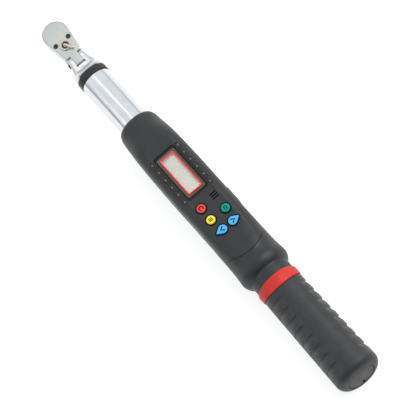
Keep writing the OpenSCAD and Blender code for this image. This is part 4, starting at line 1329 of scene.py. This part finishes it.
def make_port_cover():
    """Rubber flap with a raised border and a plug behind it."""
    low, high = box_mm("port_cover")
    x, z = (low.x + high.x) / 2, (low.z + high.z) / 2
    length, height = high.x - low.x, high.z - low.z
    outer = round_rect(length - FLAP_GAP, height - FLAP_GAP, FLAP_CORNER, 8, (x, z))
    inner = round_rect(length - FLAP_BORDER, height - FLAP_BORDER, FLAP_INNER_CORNER, 8, (x, z))
    flap = prism(outer, high.y - FLAP_BACK, high.y - FLAP_FACE, FLAP_EDGE, 0, 3, across)
    points, faces = between(outer, inner, [(f, high.y - drop) for f, drop in FLAP_PROFILE])
    border = ([across(*p) for p in points], faces)
    plug = round_rect(length - PLUG_BORDER, height - PLUG_BORDER_H, PLUG_CORNER, 6, (x, z))
    plug = prism(plug, high.y - PLUG_BACK, high.y - PLUG_FRONT, swap=across)
    obj = piece("port_flap_cover", flap, RIM, ["port_cover"], body="port_flap")
    carve(obj, border, "UNION")
    carve(obj, plug, "UNION")


make_port_cover()
bpy.context.view_layer.update()

# ---- camera, light and floor

AIM = Vector((0.1958, -0.0014, 0.014))
CAMERA_DISTANCE = 3.826
CAMERA_HEIGHT_ANGLE = 65.06
CAMERA_SIDE_ANGLE = -6.96
CAMERA_ROLL = -34.15
LENS = 434.0
VIEW_END = 20
FLOOR_HALF = 3.0
FLOOR_GREY = (0.46, 0.46, 0.46)
FLOOR_GLOW = 0.70
# The world is brightest in this direction, in the shared frame
WORLD_TOP = Vector((-0.5, 0.15, 0.85))
WORLD_COLOR = (0.95, 0.98, 1, 1)
# Strength of the world against the upward share of a direction along WORLD_TOP
WORLD_RAMP = {"From Min": -0.15, "From Max": 0.6, "To Min": 0.1, "To Max": 1.05}
LIT_POINT = (0.19, 0, 0.01)
# Place, size in metres, power in watts and colour of each lamp
LAMPS = {
    "key": ((0.45, 1.3, 1.5), (1.5, 1.1), 24, (1, 0.99, 0.97)),
    "fill": ((0.1, -1.4, 0.9), (1.6, 0.8), 3, (0.95, 0.97, 1)),
    "streak": ((-0.65, 0.46, 1.77), (2.2, 0.16), 0.9, (1, 0.97, 0.88)),
}


def make_camera():
    """Long lens from the photo's side and height."""
    data = bpy.data.cameras.new("camera")
    data.lens = LENS
    data.clip_end = VIEW_END
    obj = linked("camera", data)
    rise, side = radians(CAMERA_HEIGHT_ANGLE), radians(CAMERA_SIDE_ANGLE)
    back = Vector((cos(rise) * cos(side), cos(rise) * sin(side),
                   sin(rise)))
    roll = Matrix.Rotation(radians(CAMERA_ROLL), 3, "Z")
    turn = back.to_track_quat("Z", "Y").to_matrix() @ roll
    obj.matrix_world = Matrix.Translation(AIM + CAMERA_DISTANCE * back) @ turn.to_4x4()
    bpy.context.scene.camera = obj


def make_floor():
    """Pale floor under the part, which glows a little so that it stays nearly white."""
    size = FLOOR_HALF
    z = cad_low[2]
    mesh = bpy.data.meshes.new("floor")
    mesh.from_pydata([(-size, -size, z), (size, -size, z), (size, size, z), (-size, size, z)], [],
                     [(0, 1, 2, 3)])
    obj = linked("floor", mesh)
    paint = Paint("floor", FLOOR_GREY, 0.9, specular=0.05)
    paint.tint(paint.noise(300.0, 2), 0.004)
    set_inputs(paint.shader, {"Emission Color": (1, 1, 1, 1), "Emission Strength": FLOOR_GLOW})
    mesh.materials.append(paint.material)


def area_light(name, location, size, energy, color):
    """Rectangular lamp that faces the middle of the tool."""
    data = bpy.data.lights.new(name, "AREA")
    data.shape = "RECTANGLE"
    data.size, data.size_y = size
    data.energy = energy
    data.color = color
    obj = linked(name, data)
    obj.location = location
    aim = Vector(LIT_POINT) - Vector(location)
    obj.rotation_euler = aim.to_track_quat("-Z", "Y").to_euler()


def make_world():
    """Soft room whose light comes from above and behind the head, and is dark beyond the handle."""
    world = bpy.data.worlds.new("world")
    world.use_nodes = True
    shaders, links = world.node_tree.nodes, world.node_tree.links
    direction = shaders.new("ShaderNodeTexCoord").outputs["Generated"]
    slope = shaders.new("ShaderNodeVectorMath")
    slope.operation = "DOT_PRODUCT"
    slope.inputs[1].default_value = WORLD_TOP.normalized()
    links.new(direction, slope.inputs[0])
    ramp = shaders.new("ShaderNodeMapRange")
    set_inputs(ramp, WORLD_RAMP)
    links.new(slope.outputs["Value"], ramp.inputs["Value"])
    background = shaders["Background"]
    set_inputs(background, {"Color": WORLD_COLOR})
    links.new(ramp.outputs["Result"], background.inputs["Strength"])
    bpy.context.scene.world = world


make_camera()
make_floor()
make_world()
for name, lamp in LAMPS.items():
    area_light(name, *lamp)
bpy.context.scene.view_settings.view_transform = "Standard"
